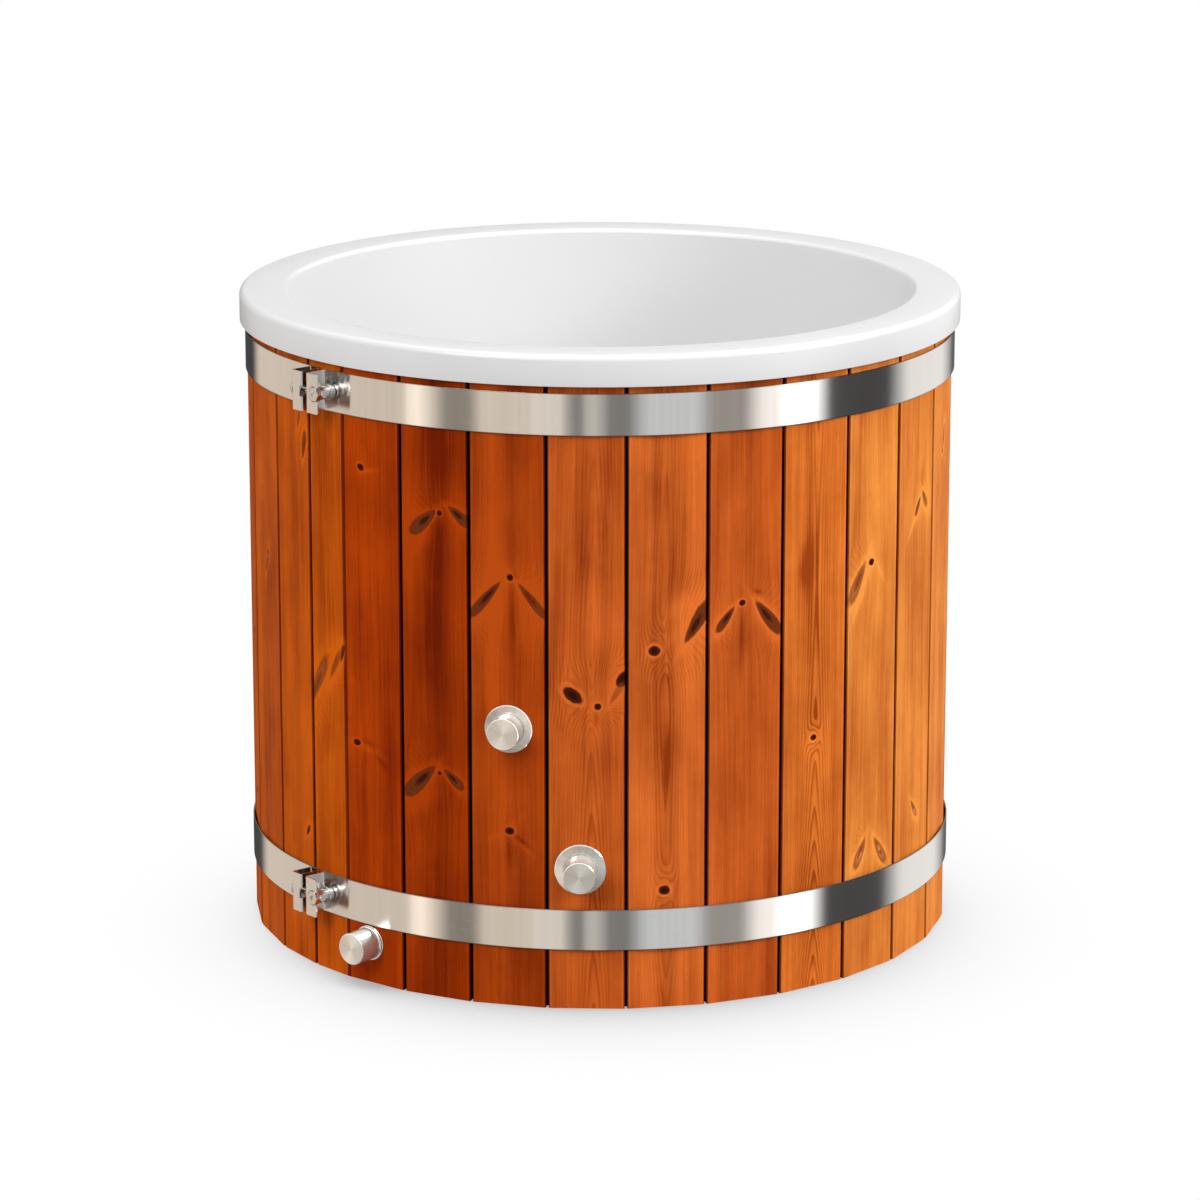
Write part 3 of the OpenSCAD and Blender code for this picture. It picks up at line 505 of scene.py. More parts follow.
@dataclass(frozen=True)
class StainedPine(Finish):
    """Knotty pine under a satin orange-brown stain, laid out for one stave.

    "streaks" are bands up the board, each a place, a half width and how much lighter it is.
    """

    angle: float
    tone: Tone
    figure: Figure
    knots: tuple[Knot, ...]
    seed: float
    face: float
    half: float
    streaks: tuple[tuple[float, float, float], ...]
    groups: dict[Growth, NodeTree]

    # How often each part of the grain repeats in a metre: across, into and along the board.
    STREAK = (36, 36, 1.2)
    THREAD = (200, 200, 3.4)
    FIBRE = (640, 640, 7)
    BLOTCH = (11, 11, 5.0)
    # A painted highlight: a lighter line this far inside each edge of the board, and its width.
    WORN_EDGE, WORN_WIDTH = 0.0028, 0.0007
    # Painted shade on the chamfers beside the joints: how far inside the board's edge it starts and
    # where it is full.
    CHAMFER_SHADE = (0.0022, 0.0012)
    # Painted shade in the gaps between boards: how far behind the face it starts and where it is
    # full.
    GAP_SHADE = (0.0012, 0.0050)
    KNOT_TONES = (
        (0.0, (0.016, 0.003, 0.001)), (0.16, (0.048, 0.009, 0.003)), (0.30, (0.095, 0.018, 0.005)),
        (0.60, (0.190, 0.038, 0.009)), (0.80, (0.42, 0.115, 0.032)), (1.0, (0.66, 0.235, 0.085)))

    def shader(self, g: Graph) -> dict[str, Value]:
        """The board's grain, rings and knots, a painted highlight along its edges, and painted shade
        on its chamfers and in the gaps between boards.
        """
        board = g.turned((0, 0, -math.radians(self.angle)))
        x, y, z = g.split(board)
        grain = g.stretch(board, (1, 0.35, 1), dimmed((1.37, 2.11, 0.73), self.seed))
        wander = g.noise(g.stretch(grain, (5, 5, 1.3)), detail=1) - 0.5
        marks = self._marks(g, x + wander * 0.012, x, z, grain)
        across, flare, dark, tone, swell = (
            marks[k] for k in ("Pull", "Light", "Mask", "Tone", "Swell"))
        late = self._rings(g, across, z, grain, swell)
        flow = g.join(across, y * 0.35, z)
        shift = dimmed((1.9, 0.7, 1.1), self.seed)
        streak = g.noise(g.stretch(flow, self.STREAK, shift), detail=1) - 0.5
        thread = g.noise(g.stretch(flow, self.THREAD, shift), detail=2) - 0.5
        blotch = g.noise(g.stretch(grain, self.BLOTCH), detail=4, rough=0.6) - 0.5
        fibre = g.noise(g.stretch(flow, self.FIBRE, shift), detail=1) - 0.5
        light = 0.63 + streak * 0.80 + thread * 0.60 + blotch * 1.40 + fibre * 0.36 + flare - late
        for side, width, depth in self.streaks:
            reach = (across - side) * (1 / width)
            light = light + (reach * reach).bell() * depth
        aside = x.math("ABSOLUTE")
        # Painted highlight along each edge of the board, where the edge would catch the light.
        edge = (aside - (self.half - self.WORN_EDGE)) * (1 / self.WORN_WIDTH)
        # Painted shade on the chamfers beside the joints.
        chamfer_shade = aside.band(*(self.half - inset for inset in self.CHAMFER_SHADE))
        # Painted shade on the walls of the gaps between boards, where they lie behind the face.
        gap = (y + self.face).band(*self.GAP_SHADE)
        # The painted highlight adds light; the painted shade on the chamfers and in the gaps takes
        # it away.
        light = light + (edge * edge).bell() * 0.20 - chamfer_shade * 0.50 - gap * 0.75
        wood = g.mix(light.math("MAXIMUM", 0.0, clamp=True), self.tone.wood(0), self.tone.wood(1))
        if self.knots:
            heart = g.out("ShaderNodeValToRGB", {"stops": self.KNOT_TONES}, {0: tone})
            wood = g.mix(dark, wood, heart)
        height = 0.5 + fibre * 0.5 - late * 0.25 + streak * 0.3
        # The painted shade of the gaps and chamfers darkens the colour once more.
        return {"Base Color": g.scaled(wood, 1 - gap * 0.62 - chamfer_shade * 0.38),
                "Roughness": 0.55 + fibre * 0.2, "Specular IOR Level": 0.03,
                "Normal": g.bump(height, 0.0007, 0.5)}

    def _marks(self, g: Graph, across: Sock, x: Sock, z: Sock, grain: Sock) -> dict[str, Value]:
        """Adds up what the knots do.

        Args:
            g: The material's graph.
            across: Place across the grain, before the knots pull on it.
            x: Place across the board.
            z: Height.
            grain: The board's own noise coordinates.

        Returns:
            The sums by the groups' outputs, with the place across the grain under "Pull".
        """
        ragged = (g.noise(g.stretch(grain, (130, 130, 130)), detail=2) - 0.5) * 0.32
        sums: dict[str, Value] = {
            "Pull": across, "Light": 0.0, "Mask": 0.0, "Tone": 0.0, "Swell": 0.0}
        for knot in self.knots:
            tilt = math.radians(knot.tilt)
            mark = g.node("ShaderNodeGroup", {"node_tree": self.groups[knot.kind]}, {
                "X": x, "Z": z, "Ragged": ragged, "Side": knot.side, "Height": knot.height,
                "Cosine": math.cos(tilt), "Sine": math.sin(tilt),
                "Long": knot.long, "Wide": knot.wide, "Depth": knot.depth})
            found = {key: Sock(g, mark.outputs[key]) for key in KnotGroup.EXITS}
            sums["Light"] = found["Light"] + sums["Light"]
            if knot.kind is not Growth.SHADE:
                sums["Pull"] = sums["Pull"] - found["Pull"]
                sums["Mask"] = found["Mask"].math("MAXIMUM", sums["Mask"])
                sums["Tone"] = found["Tone"] + sums["Tone"]
                sums["Swell"] = found["Swell"] + sums["Swell"]
        return sums

    def _rings(self, g: Graph, across: Sock, z: Sock, grain: Sock, swell: Value) -> Sock:
        """The dark line of each growth ring, where a tilted cone of rings meets the face."""
        cut = self.figure
        rise = z - cut.peak
        wave = g.noise(g.stretch(grain, (8, 8, 3.4)), detail=2) - 0.5
        reach = across - cut.offset
        radius = (reach * reach + cut.depth ** 2).math("SQRT") - cut.depth
        path = radius + rise * cut.taper + wave * (cut.spacing * 2.2 * cut.wobble)
        if cut.bow:
            path = path + rise * rise * cut.bow
        turn = (path * (1 / cut.spacing) + swell + 0.9).math("FRACT")
        fade = g.noise(g.stretch(grain, (14, 14, 1.8), (3.1, 0, 0)), detail=1).band(0.32, 0.60)
        strength = (fade * 0.7 + 0.3) * (0.46 * cut.strength)
        if cut.core:
            middle = (reach * (1 / cut.core)) ** 2
            strength = strength * (middle.bell() * 0.78 + 0.22)
        if self.knots:
            swirl = (swell * 0.34).math("MINIMUM", 0.24 if cut.core else 0.12)
            strength = strength.math("MAXIMUM", swirl)
        return turn.band(0.30, 0.90) * turn.band(1.0, 0.92) * strength


@dataclass(frozen=True)
class PlainPine(Finish):
    """Planed pine without a stain, its grain along the axis with the smallest scale in "run"."""

    run: Sequence[float]
    light: Colour = (0.66, 0.44, 0.22)
    dark: Colour = (0.44, 0.25, 0.105)

    def shader(self, g: Graph) -> dict[str, Value]:
        """Wavy rings with fine fibres."""
        grain = g.stretch(g.place(), self.run)
        line = (g.noise(grain, 1.0, 3) * 9.0).math("FRACT")
        late = line.band(0.2, 0.85) * line.band(1.0, 0.93)
        fibre = g.noise(g.stretch(grain, (22, 22, 22)), detail=1) - 0.5
        share = (late * 0.55 + fibre * 0.3).math("MAXIMUM", 0.0, clamp=True)
        return {"Base Color": g.mix(share, self.light, self.dark), "Roughness": 0.62 + fibre * 0.2,
                "Normal": g.bump(0.5 - late * 0.3 + fibre * 0.4, 0.0006, 0.5)}


@dataclass(frozen=True)
class MouldedPlastic(Finish):
    """Moulded plastic with a faint orange peel and a satin gloss."""

    colour: Colour
    roughness: float = 0.32
    peel: float = 0.00012

    def shader(self, g: Graph) -> dict[str, Value]:
        """An even colour with a faint cloud and fine waves."""
        place = g.place()
        cloud = g.noise(place, 3.5, 2) - 0.5
        tint = g.mix(cloud + 0.5, dimmed(self.colour, 0.985), self.colour)
        return {"Base Color": tint, "Roughness": self.roughness + cloud * 0.1, "IOR": 1.5,
                "Normal": g.bump(g.noise(place, 130, 2), self.peel, 0.6)}


@dataclass(frozen=True)
class BrushedStrip(Finish):
    """Stainless strip, half polished, with fine brush lines along its length."""

    middle: float
    half: float = 0.031
    colour: Colour = (0.74, 0.725, 0.70)
    roughness: float = 0.13
    # Painted shade along each long edge: how far inside the edge it starts and where it is full.
    edge_shade: tuple[float, float] = (0.0019, 0.0005)

    def shader(self, g: Graph) -> dict[str, Value]:
        """Brush lines, a faint cloud, rubbed spots and painted shade along the long edges."""
        place = g.place()
        lines = g.noise(g.stretch(place, (4, 4, 1100)), detail=2)
        cloud = g.noise(g.stretch(place, (11, 11, 5)), detail=3)
        rub = g.noise(g.stretch(place, (46, 46, 300)), detail=2).band(0.60, 0.74)
        tint = g.mix(cloud, dimmed(self.colour, 0.92), self.colour)
        aside = (g.split(place)[2] - self.middle).math("ABSOLUTE")
        # Painted shade along the strip's long edges, where it meets the staves.
        edge = aside.band(*(self.half - inset for inset in self.edge_shade))
        return {"Base Color": g.scaled(tint, 1 - edge * 0.62), "Metallic": 1.0,
                "Roughness": self.roughness + (cloud - 0.5) * 0.05 + rub * 0.05,
                "Anisotropic": 1.0, "Anisotropic Rotation": 0.25,
                "Normal": g.bump(lines, 0.00002, 0.6)}


@dataclass(frozen=True)
class BrightSteel(Finish):
    """Polished or bead-blasted stainless for small parts."""

    colour: Colour = (0.68, 0.665, 0.645)
    roughness: float = 0.22
    grain: float = 900.0

    def shader(self, g: Graph) -> dict[str, Value]:
        """Fine specks under a faint cloud."""
        place = g.place()
        speck = g.noise(place, self.grain, 2) - 0.5
        cloud = g.noise(place, 60, 2) - 0.5
        tint = g.mix(cloud + 0.5, dimmed(self.colour, 0.94), self.colour)
        return {"Base Color": tint, "Metallic": 1.0,
                "Roughness": self.roughness + speck * 0.06 + cloud * 0.05,
                "Normal": g.bump(speck + 0.5, 0.00001, 0.4)}


@dataclass(frozen=True)
class TurnedSteel(Finish):
    """Stainless turned on a lathe: fine rings round a port's axis, and a painted fan highlight
    in the colour where the rings would throw light.

    "painted_fan" is how strong that painted highlight is and "turn" its direction in degrees.
    "edges" are rounded edges with a painted glint, each a radius and a height.
    """

    frame: Matrix
    colour: Colour = (0.92, 0.87, 0.79)
    roughness: float = 0.30
    metal: float = 0.78
    groove: float = 0.00045
    depth: float = 0.000008
    # Strength of the painted fan highlight.
    painted_fan: float = 0.36
    turn: float = 75.0
    edges: tuple[tuple[float, float], ...] = ()
    rounding: tuple[float, float] = (0.0016, 0.0008)
    # Colour of the painted glint on the rounded edges.
    glint: Colour = (0.90, 0.89, 0.87)

    def shader(self, g: Graph) -> dict[str, Value]:
        """Rings on faces, lines round the sides, the painted fan highlight and the painted glint."""
        back = self.frame.inverted()
        local = g.turned(tuple(back.to_euler()), tuple(back.translation))
        x, y, z = g.split(local)
        radius = (x * x + y * y).math("SQRT")
        angle = y.math("ARCTAN2", x)
        # Painted fan highlight: light and dark wedges round the axis, broken into streaks by noise.
        painted_beam = (angle * 2 - math.radians(2 * self.turn)).math("COSINE") * 0.5 + 0.5
        wheel = g.join(angle.math("COSINE") * 2.6, angle.math("SINE") * 2.6, 0.0)
        painted_spokes = g.noise(wheel, detail=4, rough=0.65)
        light = (painted_beam * painted_beam * 0.7 + painted_spokes * 0.8 - 0.15).math("MAXIMUM", 0.0, clamp=True)
        tool = g.noise(g.join(radius * 900, z * 900, 0.0), detail=2)
        fine = ((radius + z) * (2 * math.pi / self.groove)).math("SINE") * 0.5 + 0.5
        speck = g.noise(g.stretch(local, (90, 90, 90)), detail=1) - 0.5
        # Painted glint on each rounded edge.
        edge: Value = 0.0
        for place, height in self.edges:
            edge = (radius.band(*(place - inset for inset in self.rounding))
                    * z.band(*(height - inset for inset in self.rounding)) + edge)
        # The bright and dark colours of the painted fan highlight.
        high = tuple(min(0.95, part) for part in dimmed(self.colour, 1 + 0.4 * self.painted_fan))
        body = g.mix(light * 0.94 + tool * 0.06, dimmed(self.colour, 1 - self.painted_fan), high)
        return {"Base Color": g.mix(edge, body, self.glint), "Metallic": self.metal,
                "Roughness": self.roughness + speck * 0.03 - edge * 0.1,
                "Normal": g.bump(tool * 0.5 + fine * 0.5, self.depth, 1.0)}


@dataclass(frozen=True)
class Rubber(Finish):
    """Black seal rubber."""

    colour: Colour = (0.018, 0.018, 0.019)

    def shader(self, g: Graph) -> dict[str, Value]:
        """Fine specks."""
        speck = g.noise(g.place(), 700, 2)
        return {"Base Color": g.mix(speck, self.colour, dimmed(self.colour, 1.9)),
                "Roughness": 0.55 + speck * 0.2, "Normal": g.bump(speck, 0.0001, 0.5)}


@dataclass(frozen=True)
class CellFoam(Finish):
    """Cream insulating foam with open cells."""

    colour: Colour = (0.80, 0.71, 0.49)

    def shader(self, g: Graph) -> dict[str, Value]:
        """Small cells under a cloud."""
        cells = g.out("ShaderNodeTexVoronoi", {"feature": "F1"},
                      {"Vector": g.place(), "Scale": 420.0})
        tint = g.mix(g.noise(g.place(), 8, 3), dimmed(self.colour, 0.82), self.colour)
        return {"Base Color": tint, "Roughness": 0.9, "Normal": g.bump(cells, 0.0012, 0.7)}


# Mesh helpers


def outward_frame(angle: float, side: float, distance: float, height: float) -> Matrix:
    """A frame on the barrel: X sideways, Y up, Z outwards.

    Args:
        angle: Angle round the barrel from the front, in degrees.
        side: Sideways place.
        distance: Distance from the barrel's axis.
        height: Height above the floor.

    Returns:
        The frame as a matrix.
    """
    a = math.radians(angle)
    right, out = Vector((math.cos(a), math.sin(a), 0)), Vector((math.sin(a), -math.cos(a), 0))
    up = Vector((0, 0, 1))
    origin = out * distance + right * side + up * height
    rows = [(right[k], up[k], out[k], origin[k]) for k in range(3)]
    return Matrix((*rows, (0, 0, 0, 1)))


def plain_object(name: str, data: ID) -> Object:
    """Puts a mesh, a light or a camera in the scene as an object at the origin."""
    made = bpy.data.objects.new(name, data)
    bpy.context.scene.collection.objects.link(made)
    return made


def from_bmesh(name: str, bm: BMesh, sharp: float = SMOOTH_ANGLE) -> Object:
    """Turns a bmesh into an object with outward normals and smooth shading up to an angle.

    Args:
        name: The object's name.
        bm: The bmesh, which is freed.
        sharp: Edges that bend more than this many degrees stay sharp.

    Returns:
        The object.
    """
    bmesh.ops.remove_doubles(bm, verts=bm.verts, dist=1e-6)
    bmesh.ops.recalc_face_normals(bm, faces=bm.faces)
    mesh = bpy.data.meshes.new(name)
    bm.to_mesh(mesh)
    bm.free()
    shade(mesh, sharp)
    return plain_object(name, mesh)


def shade(mesh: Mesh, sharp: float) -> None:
    """Shades a mesh smooth, but for edges above an angle in degrees."""
    mesh.polygons.foreach_set("use_smooth", [True] * len(mesh.polygons))
    mesh.set_sharp_from_angle(angle=math.radians(sharp))


def lathe(bm: BMesh, section: Sequence[tuple[float, float]], frame: Matrix,
          around: int, closed: bool) -> None:
    """Revolves a section round a frame's Z axis.

    Args:
        bm: The bmesh that gets the faces.
        section: Points as (radius, height), in order round the section.
        frame: The frame.
        around: Number of steps round the axis.
        closed: Whether the last point joins the first.
    """
    rows: list[list[BMVert]] = []
    turns = [2 * math.pi * k / around for k in range(around)]
    for radius, height in section:
        ring = [(radius * math.cos(t), radius * math.sin(t)) for t in turns] if radius else [(0, 0)]
        rows.append([bm.verts.new(frame @ Vector((x, y, height))) for x, y in ring])
    pairs = list(zip(rows, rows[1:])) + ([(rows[-1], rows[0])] if closed else [])
    for low, high in pairs:
        for k in range(around):
            n = (k + 1) % around
            corners = [low[k % len(low)], low[n % len(low)],
                       high[n % len(high)], high[k % len(high)]]
            face = list(dict.fromkeys(corners))
            if len(face) > 2:
                bm.faces.new(face)


def arc(centre: tuple[float, float], radius: float, start: float, end: float,
        steps: int) -> list[tuple[float, float]]:
    """Points of an arc.

    Args:
        centre: Its centre.
        radius: Its radius.
        start: First angle in degrees.
        end: Last angle in degrees.
        steps: Number of steps.

    Returns:
        The points, ends included.
    """
    angles = (math.radians(start + (end - start) * k / steps) for k in range(steps + 1))
    return [(centre[0] + radius * math.cos(a), centre[1] + radius * math.sin(a)) for a in angles]


def carve(piece: Object, tools: Sequence[Object]) -> None:
    """Cuts tools out of a piece, whose mesh is then plain again.

    Args:
        piece: The piece.
        tools: The tools, which are removed.
    """
    for tool in tools:
        modifier = piece.modifiers.new("Cut", "BOOLEAN")
        modifier.object, modifier.operation, modifier.solver = tool, "DIFFERENCE", "EXACT"
    bpy.context.view_layer.update()
    graph = bpy.context.evaluated_depsgraph_get()
    cut = bpy.data.meshes.new_from_object(piece.evaluated_get(graph), depsgraph=graph)
    for tool in tools:
        bpy.data.objects.remove(tool)
    piece.modifiers.clear()
    piece.data = cut


def rod(name: str, frame: Matrix, radius: float, low: float, high: float,
        around: int = 64) -> Object:
    """A round tool along a frame's Z axis.

    Args:
        name: The tool's name.
        frame: The frame.
        radius: The tool's radius.
        low: Where it starts along the axis.
        high: Where it ends.
        around: Number of steps round the axis.

    Returns:
        The tool.
    """
    bm = bmesh.new()
    section = [(0, low), (radius, low), (radius, high), (0, high)]
    lathe(bm, section, frame, around, closed=False)
    return from_bmesh(name, bm)


def block(name: str, low: Sequence[float], high: Sequence[float]) -> Object:
    """A tool that fills the box between two corners."""
    bm = bmesh.new()
    corners = [bm.verts.new((x, y, z)) for x in (low[0], high[0]) for y in (low[1], high[1])
               for z in (low[2], high[2])]
    for face in ((0, 1, 3, 2), (4, 6, 7, 5), (0, 4, 5, 1),
                 (2, 3, 7, 6), (0, 2, 6, 4), (1, 5, 7, 3)):
        bm.faces.new([corners[k] for k in face])
    return from_bmesh(name, bm)


@dataclass
class NodeModel:
    """A geometry node tree with named inputs, applied once to make a plain mesh."""

    name: str
    tree: NodeTree = field(init=False)
    graph: Graph = field(init=False)
    entry: Node = field(init=False)

    def __post_init__(self) -> None:
        """Makes the empty tree with a geometry input and output."""
        self.tree = bpy.data.node_groups.new(self.name, "GeometryNodeTree")
        self.graph = Graph(self.tree)
        self.tree.interface.new_socket("Geometry", in_out="OUTPUT",
                                       socket_type="NodeSocketGeometry")
        self.tree.interface.new_socket("Geometry", in_out="INPUT", socket_type="NodeSocketGeometry")

    def inputs(self, **kinds: str) -> None:
        """Adds the named inputs, each with its socket type, and the node that gives them."""
        for name, kind in kinds.items():
            self.tree.interface.new_socket(name.replace("_", " "), in_out="INPUT",
                                           socket_type="NodeSocket" + kind)
        self.entry = self.graph.node("NodeGroupInput")

    def given(self, name: str) -> Sock:
        """One of the named inputs."""
        return Sock(self.graph, self.entry.outputs[name])

    def close(self, shape: Sock) -> None:
        """Ends the tree in Realize Instances and Set Material."""
        whole = self.graph.out("GeometryNodeRealizeInstances", values={0: shape})
        dressed = self.graph.out("GeometryNodeSetMaterial", values={
            "Geometry": whole, "Material": self.given("Finish")})
        self.graph.node("NodeGroupOutput", values={"Geometry": dressed})

    def mesh(self, base: Mesh, **sizes: Value) -> Mesh:
        """Runs the tree on a base mesh.

        Args:
            base: The mesh that the tree starts from.
            sizes: The named inputs' values.

        Returns:
            The plain mesh.
        """
        holder = plain_object(self.name + "_base", base)
        modifier = holder.modifiers.new("Shape", "NODES")
        modifier.node_group = self.tree
        for item in self.tree.interface.items_tree:
            key = item.name.replace(" ", "_")
            if item.in_out == "INPUT" and key in sizes:
                modifier[item.identifier] = sizes[key]
        bpy.context.view_layer.update()
        graph = bpy.context.evaluated_depsgraph_get()
        made = bpy.data.meshes.new_from_object(holder.evaluated_get(graph),
                                               preserve_all_data_layers=True, depsgraph=graph)
        bpy.data.objects.remove(holder)
        bpy.data.meshes.remove(base)
        return made


def strip_model() -> NodeModel:
    """A flat strip with eased edges, swept along a path of edges."""
    model = NodeModel("strip_on_path")
    model.inputs(Strip_width="Float", Strip_thickness="Float", Edge_radius="Float",
                 Finish="Material")
    g = model.graph
    path = g.out("GeometryNodeMeshToCurve", values={0: model.given("Geometry")})
    level = g.out("GeometryNodeSetCurveNormal", {"mode": "Z_UP"}, {"Curve": path})
    section = g.out("GeometryNodeCurvePrimitiveQuadrilateral", {"mode": "RECTANGLE"},
                    {"Width": model.given("Strip thickness"), "Height": model.given("Strip width")})
    eased = g.out("GeometryNodeFilletCurve", {"mode": "POLY"},
                  {"Curve": section, "Count": 3, "Radius": model.given("Edge radius")})
    model.close(g.out("GeometryNodeCurveToMesh", values={
        "Curve": level, "Profile Curve": eased, "Fill Caps": True}))
    return model


def thread_model() -> NodeModel:
    """A screw thread: a ridge that winds up the Z axis, added to the core it is given."""
    model = NodeModel("screw_thread")
    model.inputs(Core_radius="Float", Ridge="Float", Turns="Float", Length="Float", Start="Vector",
                 Finish="Material")
    g = model.graph
    core = model.given("Core radius")
    spiral = g.out("GeometryNodeCurveSpiral", values={
        "Resolution": 40, "Rotations": model.given("Turns"),
        "Start Radius": core, "End Radius": core,
        "Height": model.given("Length")})
    diamond = g.out("GeometryNodeCurvePrimitiveCircle", {"mode": "RADIUS"},
                    {"Resolution": 4, "Radius": model.given("Ridge")})
    ridge = g.out("GeometryNodeCurveToMesh", values={
        "Curve": spiral, "Profile Curve": diamond, "Fill Caps": True})
    moved = g.out("GeometryNodeTransform", values={
        "Geometry": ridge, "Translation": model.given("Start")})
    both = g.node("GeometryNodeJoinGeometry")
    g.tree.links.new(moved.socket, both.inputs[0])
    g.tree.links.new(model.given("Geometry").socket, both.inputs[0])
    model.close(Sock(g, both.outputs[0]))
    return model


# The tub's pieces


@dataclass
class StaveRing:
    """The ring of 29 boards, each with its own cut, tone and knots.

    "shares" are their widths against a full one, counted leftwards from the joint nearest the
    front, which stands at "front_joint" degrees. "line" is the dark gap between two boards.
    """

    shares: tuple[float, ...] = (0.97, 0.97, 0.94, 0.91, 0.66, 0.83) + (1.0,) * 23
    front_joint: float = 4.07
    corner_radius: float = 0.540
    line: float = 0.0042

    TONES = {1: Tone.TAWNY, 2: Tone.CHESTNUT, 3: Tone.MAHOGANY, 4: Tone.RED_BROWN, 5: Tone.BROWN,
             6: Tone.BROWN, 7: Tone.BROWN, 8: Tone.BROWN, 24: Tone.AMBER, 25: Tone.AMBER,
             26: Tone.AMBER, 27: Tone.ORANGE, 28: Tone.TAWNY, 29: Tone.RUSSET}
    CUTS = {1: PEAKED, 2: FLAT, 3: FLAT_RIGHT, 4: EDGED, 5: FLAT, 6: EDGED, 7: FLAT_RIGHT, 8: FLAT,
            24: EDGED, 25: FLAT, 26: FLAT_RIGHT, 27: POINTED, 28: FLAT, 29: FINE}
    STREAKS = {2: ((-0.022, 0.012, 0.22), (0.008, 0.011, -0.18)),
               3: ((0.004, 0.016, -0.30), (-0.042, 0.010, 0.12)),
               4: ((0.030, 0.012, -0.12),), 28: ((0.020, 0.012, 0.12),),
               29: ((-0.010, 0.009, -0.15),)}

    def half(self, number: int) -> float:
        """Half of the angle that a stave takes, in degrees."""
        return 180 / sum(self.shares) * self.shares[number - 1]

    def angle(self, number: int) -> float:
        """Angle of a stave's middle from the front, in degrees."""
        pitch = 360 / sum(self.shares)
        return self.front_joint - pitch * sum(self.shares[:number - 1]) - self.half(number)

    def face(self, number: int) -> float:
        """Distance of a stave's outer face from the axis."""
        return self.corner_radius * math.cos(math.radians(self.half(number)))

    def finish_of(self, number: int, groups: dict[Growth, NodeTree]) -> StainedPine:
        """The finish of one stave, by chance where the photograph hides it.

        Args:
            number: The stave's number, counted from the front leftwards.
            groups: The node group of each kind of knot.

        Returns:
            Its stained pine.
        """
        dice = random.Random(number * 17)
        knots = KNOTS.get(number)
        if knots is None:
            count = dice.choice((1, 2, 2, 3))
            knots = tuple(knot for _ in range(count) for knot in self._whorl(dice))
        tone = self.TONES.get(number) or dice.choice(
            (Tone.BROWN, Tone.TAWNY, Tone.RUSSET, Tone.ORANGE))
        cut = self.CUTS.get(number) or dice.choice((FLAT, PEAKED, FINE, FLAT_RIGHT, POINTED, FLAT))
        half = self.corner_radius * math.sin(math.radians(self.half(number))) - self.line / 2
        return StainedPine(self.angle(number), tone, cut, knots, number * 3.7,
                           self.face(number), half,
                           self.STREAKS.get(number, ()), groups)

    @staticmethod
    def _whorl(dice: random.Random) -> tuple[Knot, ...]:
        """One round knot, or a whorl of a round knot and one or two spikes."""
        side, height = dice.uniform(-0.025, 0.025), dice.uniform(0.17, 0.83)
        heart = Knot(side, height, dice.uniform(0.005, 0.009), dice.uniform(0.0045, 0.007))
        if dice.random() < 0.45:
            return (heart,)
        kind = dice.choice((Growth.SPIKE, Growth.SPIKE, Growth.PALE))
        long = dice.uniform(0.015, 0.027)
        left = Knot(side - 0.036, height - 0.030, long, long * 0.36, 228, kind)
        right = Knot(side + 0.036, height - 0.028, long * 0.9, long * 0.32, -50, kind)
        return (heart, left) if dice.random() < 0.3 else (heart, left, right)

    def dress(self, nodes: dict[str, Object]) -> None:
        """Gives every stave its own stained pine."""
        groups = KnotGroup.all()
        for number in range(1, len(self.shares) + 1):
            name = f"stave_{number:02d}"
            pine = self.finish_of(number, groups).make("stained_pine_" + name)
            paint(nodes[name], pine)


def paint(piece: Object, material: Material) -> None:
    """Gives a piece one material.

    Args:
        piece: The piece.
        material: Its material.
    """
    piece.data.materials.clear()
    piece.data.materials.append(material)
    log.info("dressed %s", piece.name)


@dataclass
class Liner:
    """The white moulded liner with its rolled rim."""

    wall_radius: float = 0.47807
    wall: float = 0.005
    bottom: float = 0.138
    fillet: float = 0.038
    rim_radius: float = 0.550
    rim_top: float = 0.9821
    rim_height: float = 0.046
    round_out: float = 0.009
    round_in: float = 0.007
    lip: float = 0.0012
    around: int = 256
    sharp: float = 40
    hole: float = 0.0213
    hole_reach: float = 0.02
    outlet: tuple[float, float, float] = (-0.2585, -0.3071, 0.14)
    white: Colour = (0.78, 0.78, 0.785)

    def section(self) -> list[tuple[float, float]]:
        """The closed half section, from the axis under the floor outwards and back."""
        wall, inner, lip = self.wall, self.wall_radius, self.lip
        outer, foot, skirt = inner + wall, self.fillet + wall, self.rim_radius - wall
        low, under = self.rim_top - self.rim_height, self.rim_top - wall
        points: list[tuple[float, float]] = [(0.0, self.bottom)]
        points += arc((outer - foot, self.bottom + foot), foot, -90, 0, 10)
        points += arc((outer + 0.003, under - 0.003), 0.003, 180, 90, 4)
        points += arc((skirt - 0.004, under - 0.004), 0.004, 90, 0, 5)
        points += arc((skirt + lip, low + lip), lip, 180, 270, 3)
        points += arc((self.rim_radius - lip, low + lip), lip, -90, 0, 3)
        points += arc((self.rim_radius - self.round_out, self.rim_top - self.round_out),
                      self.round_out, 0, 90, 10)
        points += arc((inner + self.round_in, self.rim_top - self.round_in),
                      self.round_in, 90, 180, 10)
        points += arc((inner - self.fillet, self.bottom + wall + self.fillet),
                      self.fillet, 0, -90, 10)
        points.append((0.0, self.bottom + wall))
        return points

    def build(self, ports: Sequence[Matrix]) -> None:
        """Revolves the liner, drills it and puts it in the place of its CAD node.

        Args:
            ports: The frames of the ports' holes. The hole of the drain's outlet comes with them.
        """
        bm = bmesh.new()
        lathe(bm, self.section(), Matrix.Identity(4), self.around, closed=False)
        piece = from_bmesh("liner_shell", bm, self.sharp)
        carve(piece, [rod("liner_drill", frame, self.hole, -self.hole_reach, self.hole_reach)
                      for frame in (*ports, Matrix.Translation(self.outlet))])
        shade(piece.data, self.sharp)
        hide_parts("liner")
        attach(piece, "tub")
        paint(piece, MouldedPlastic(self.white).make("white_liner"))


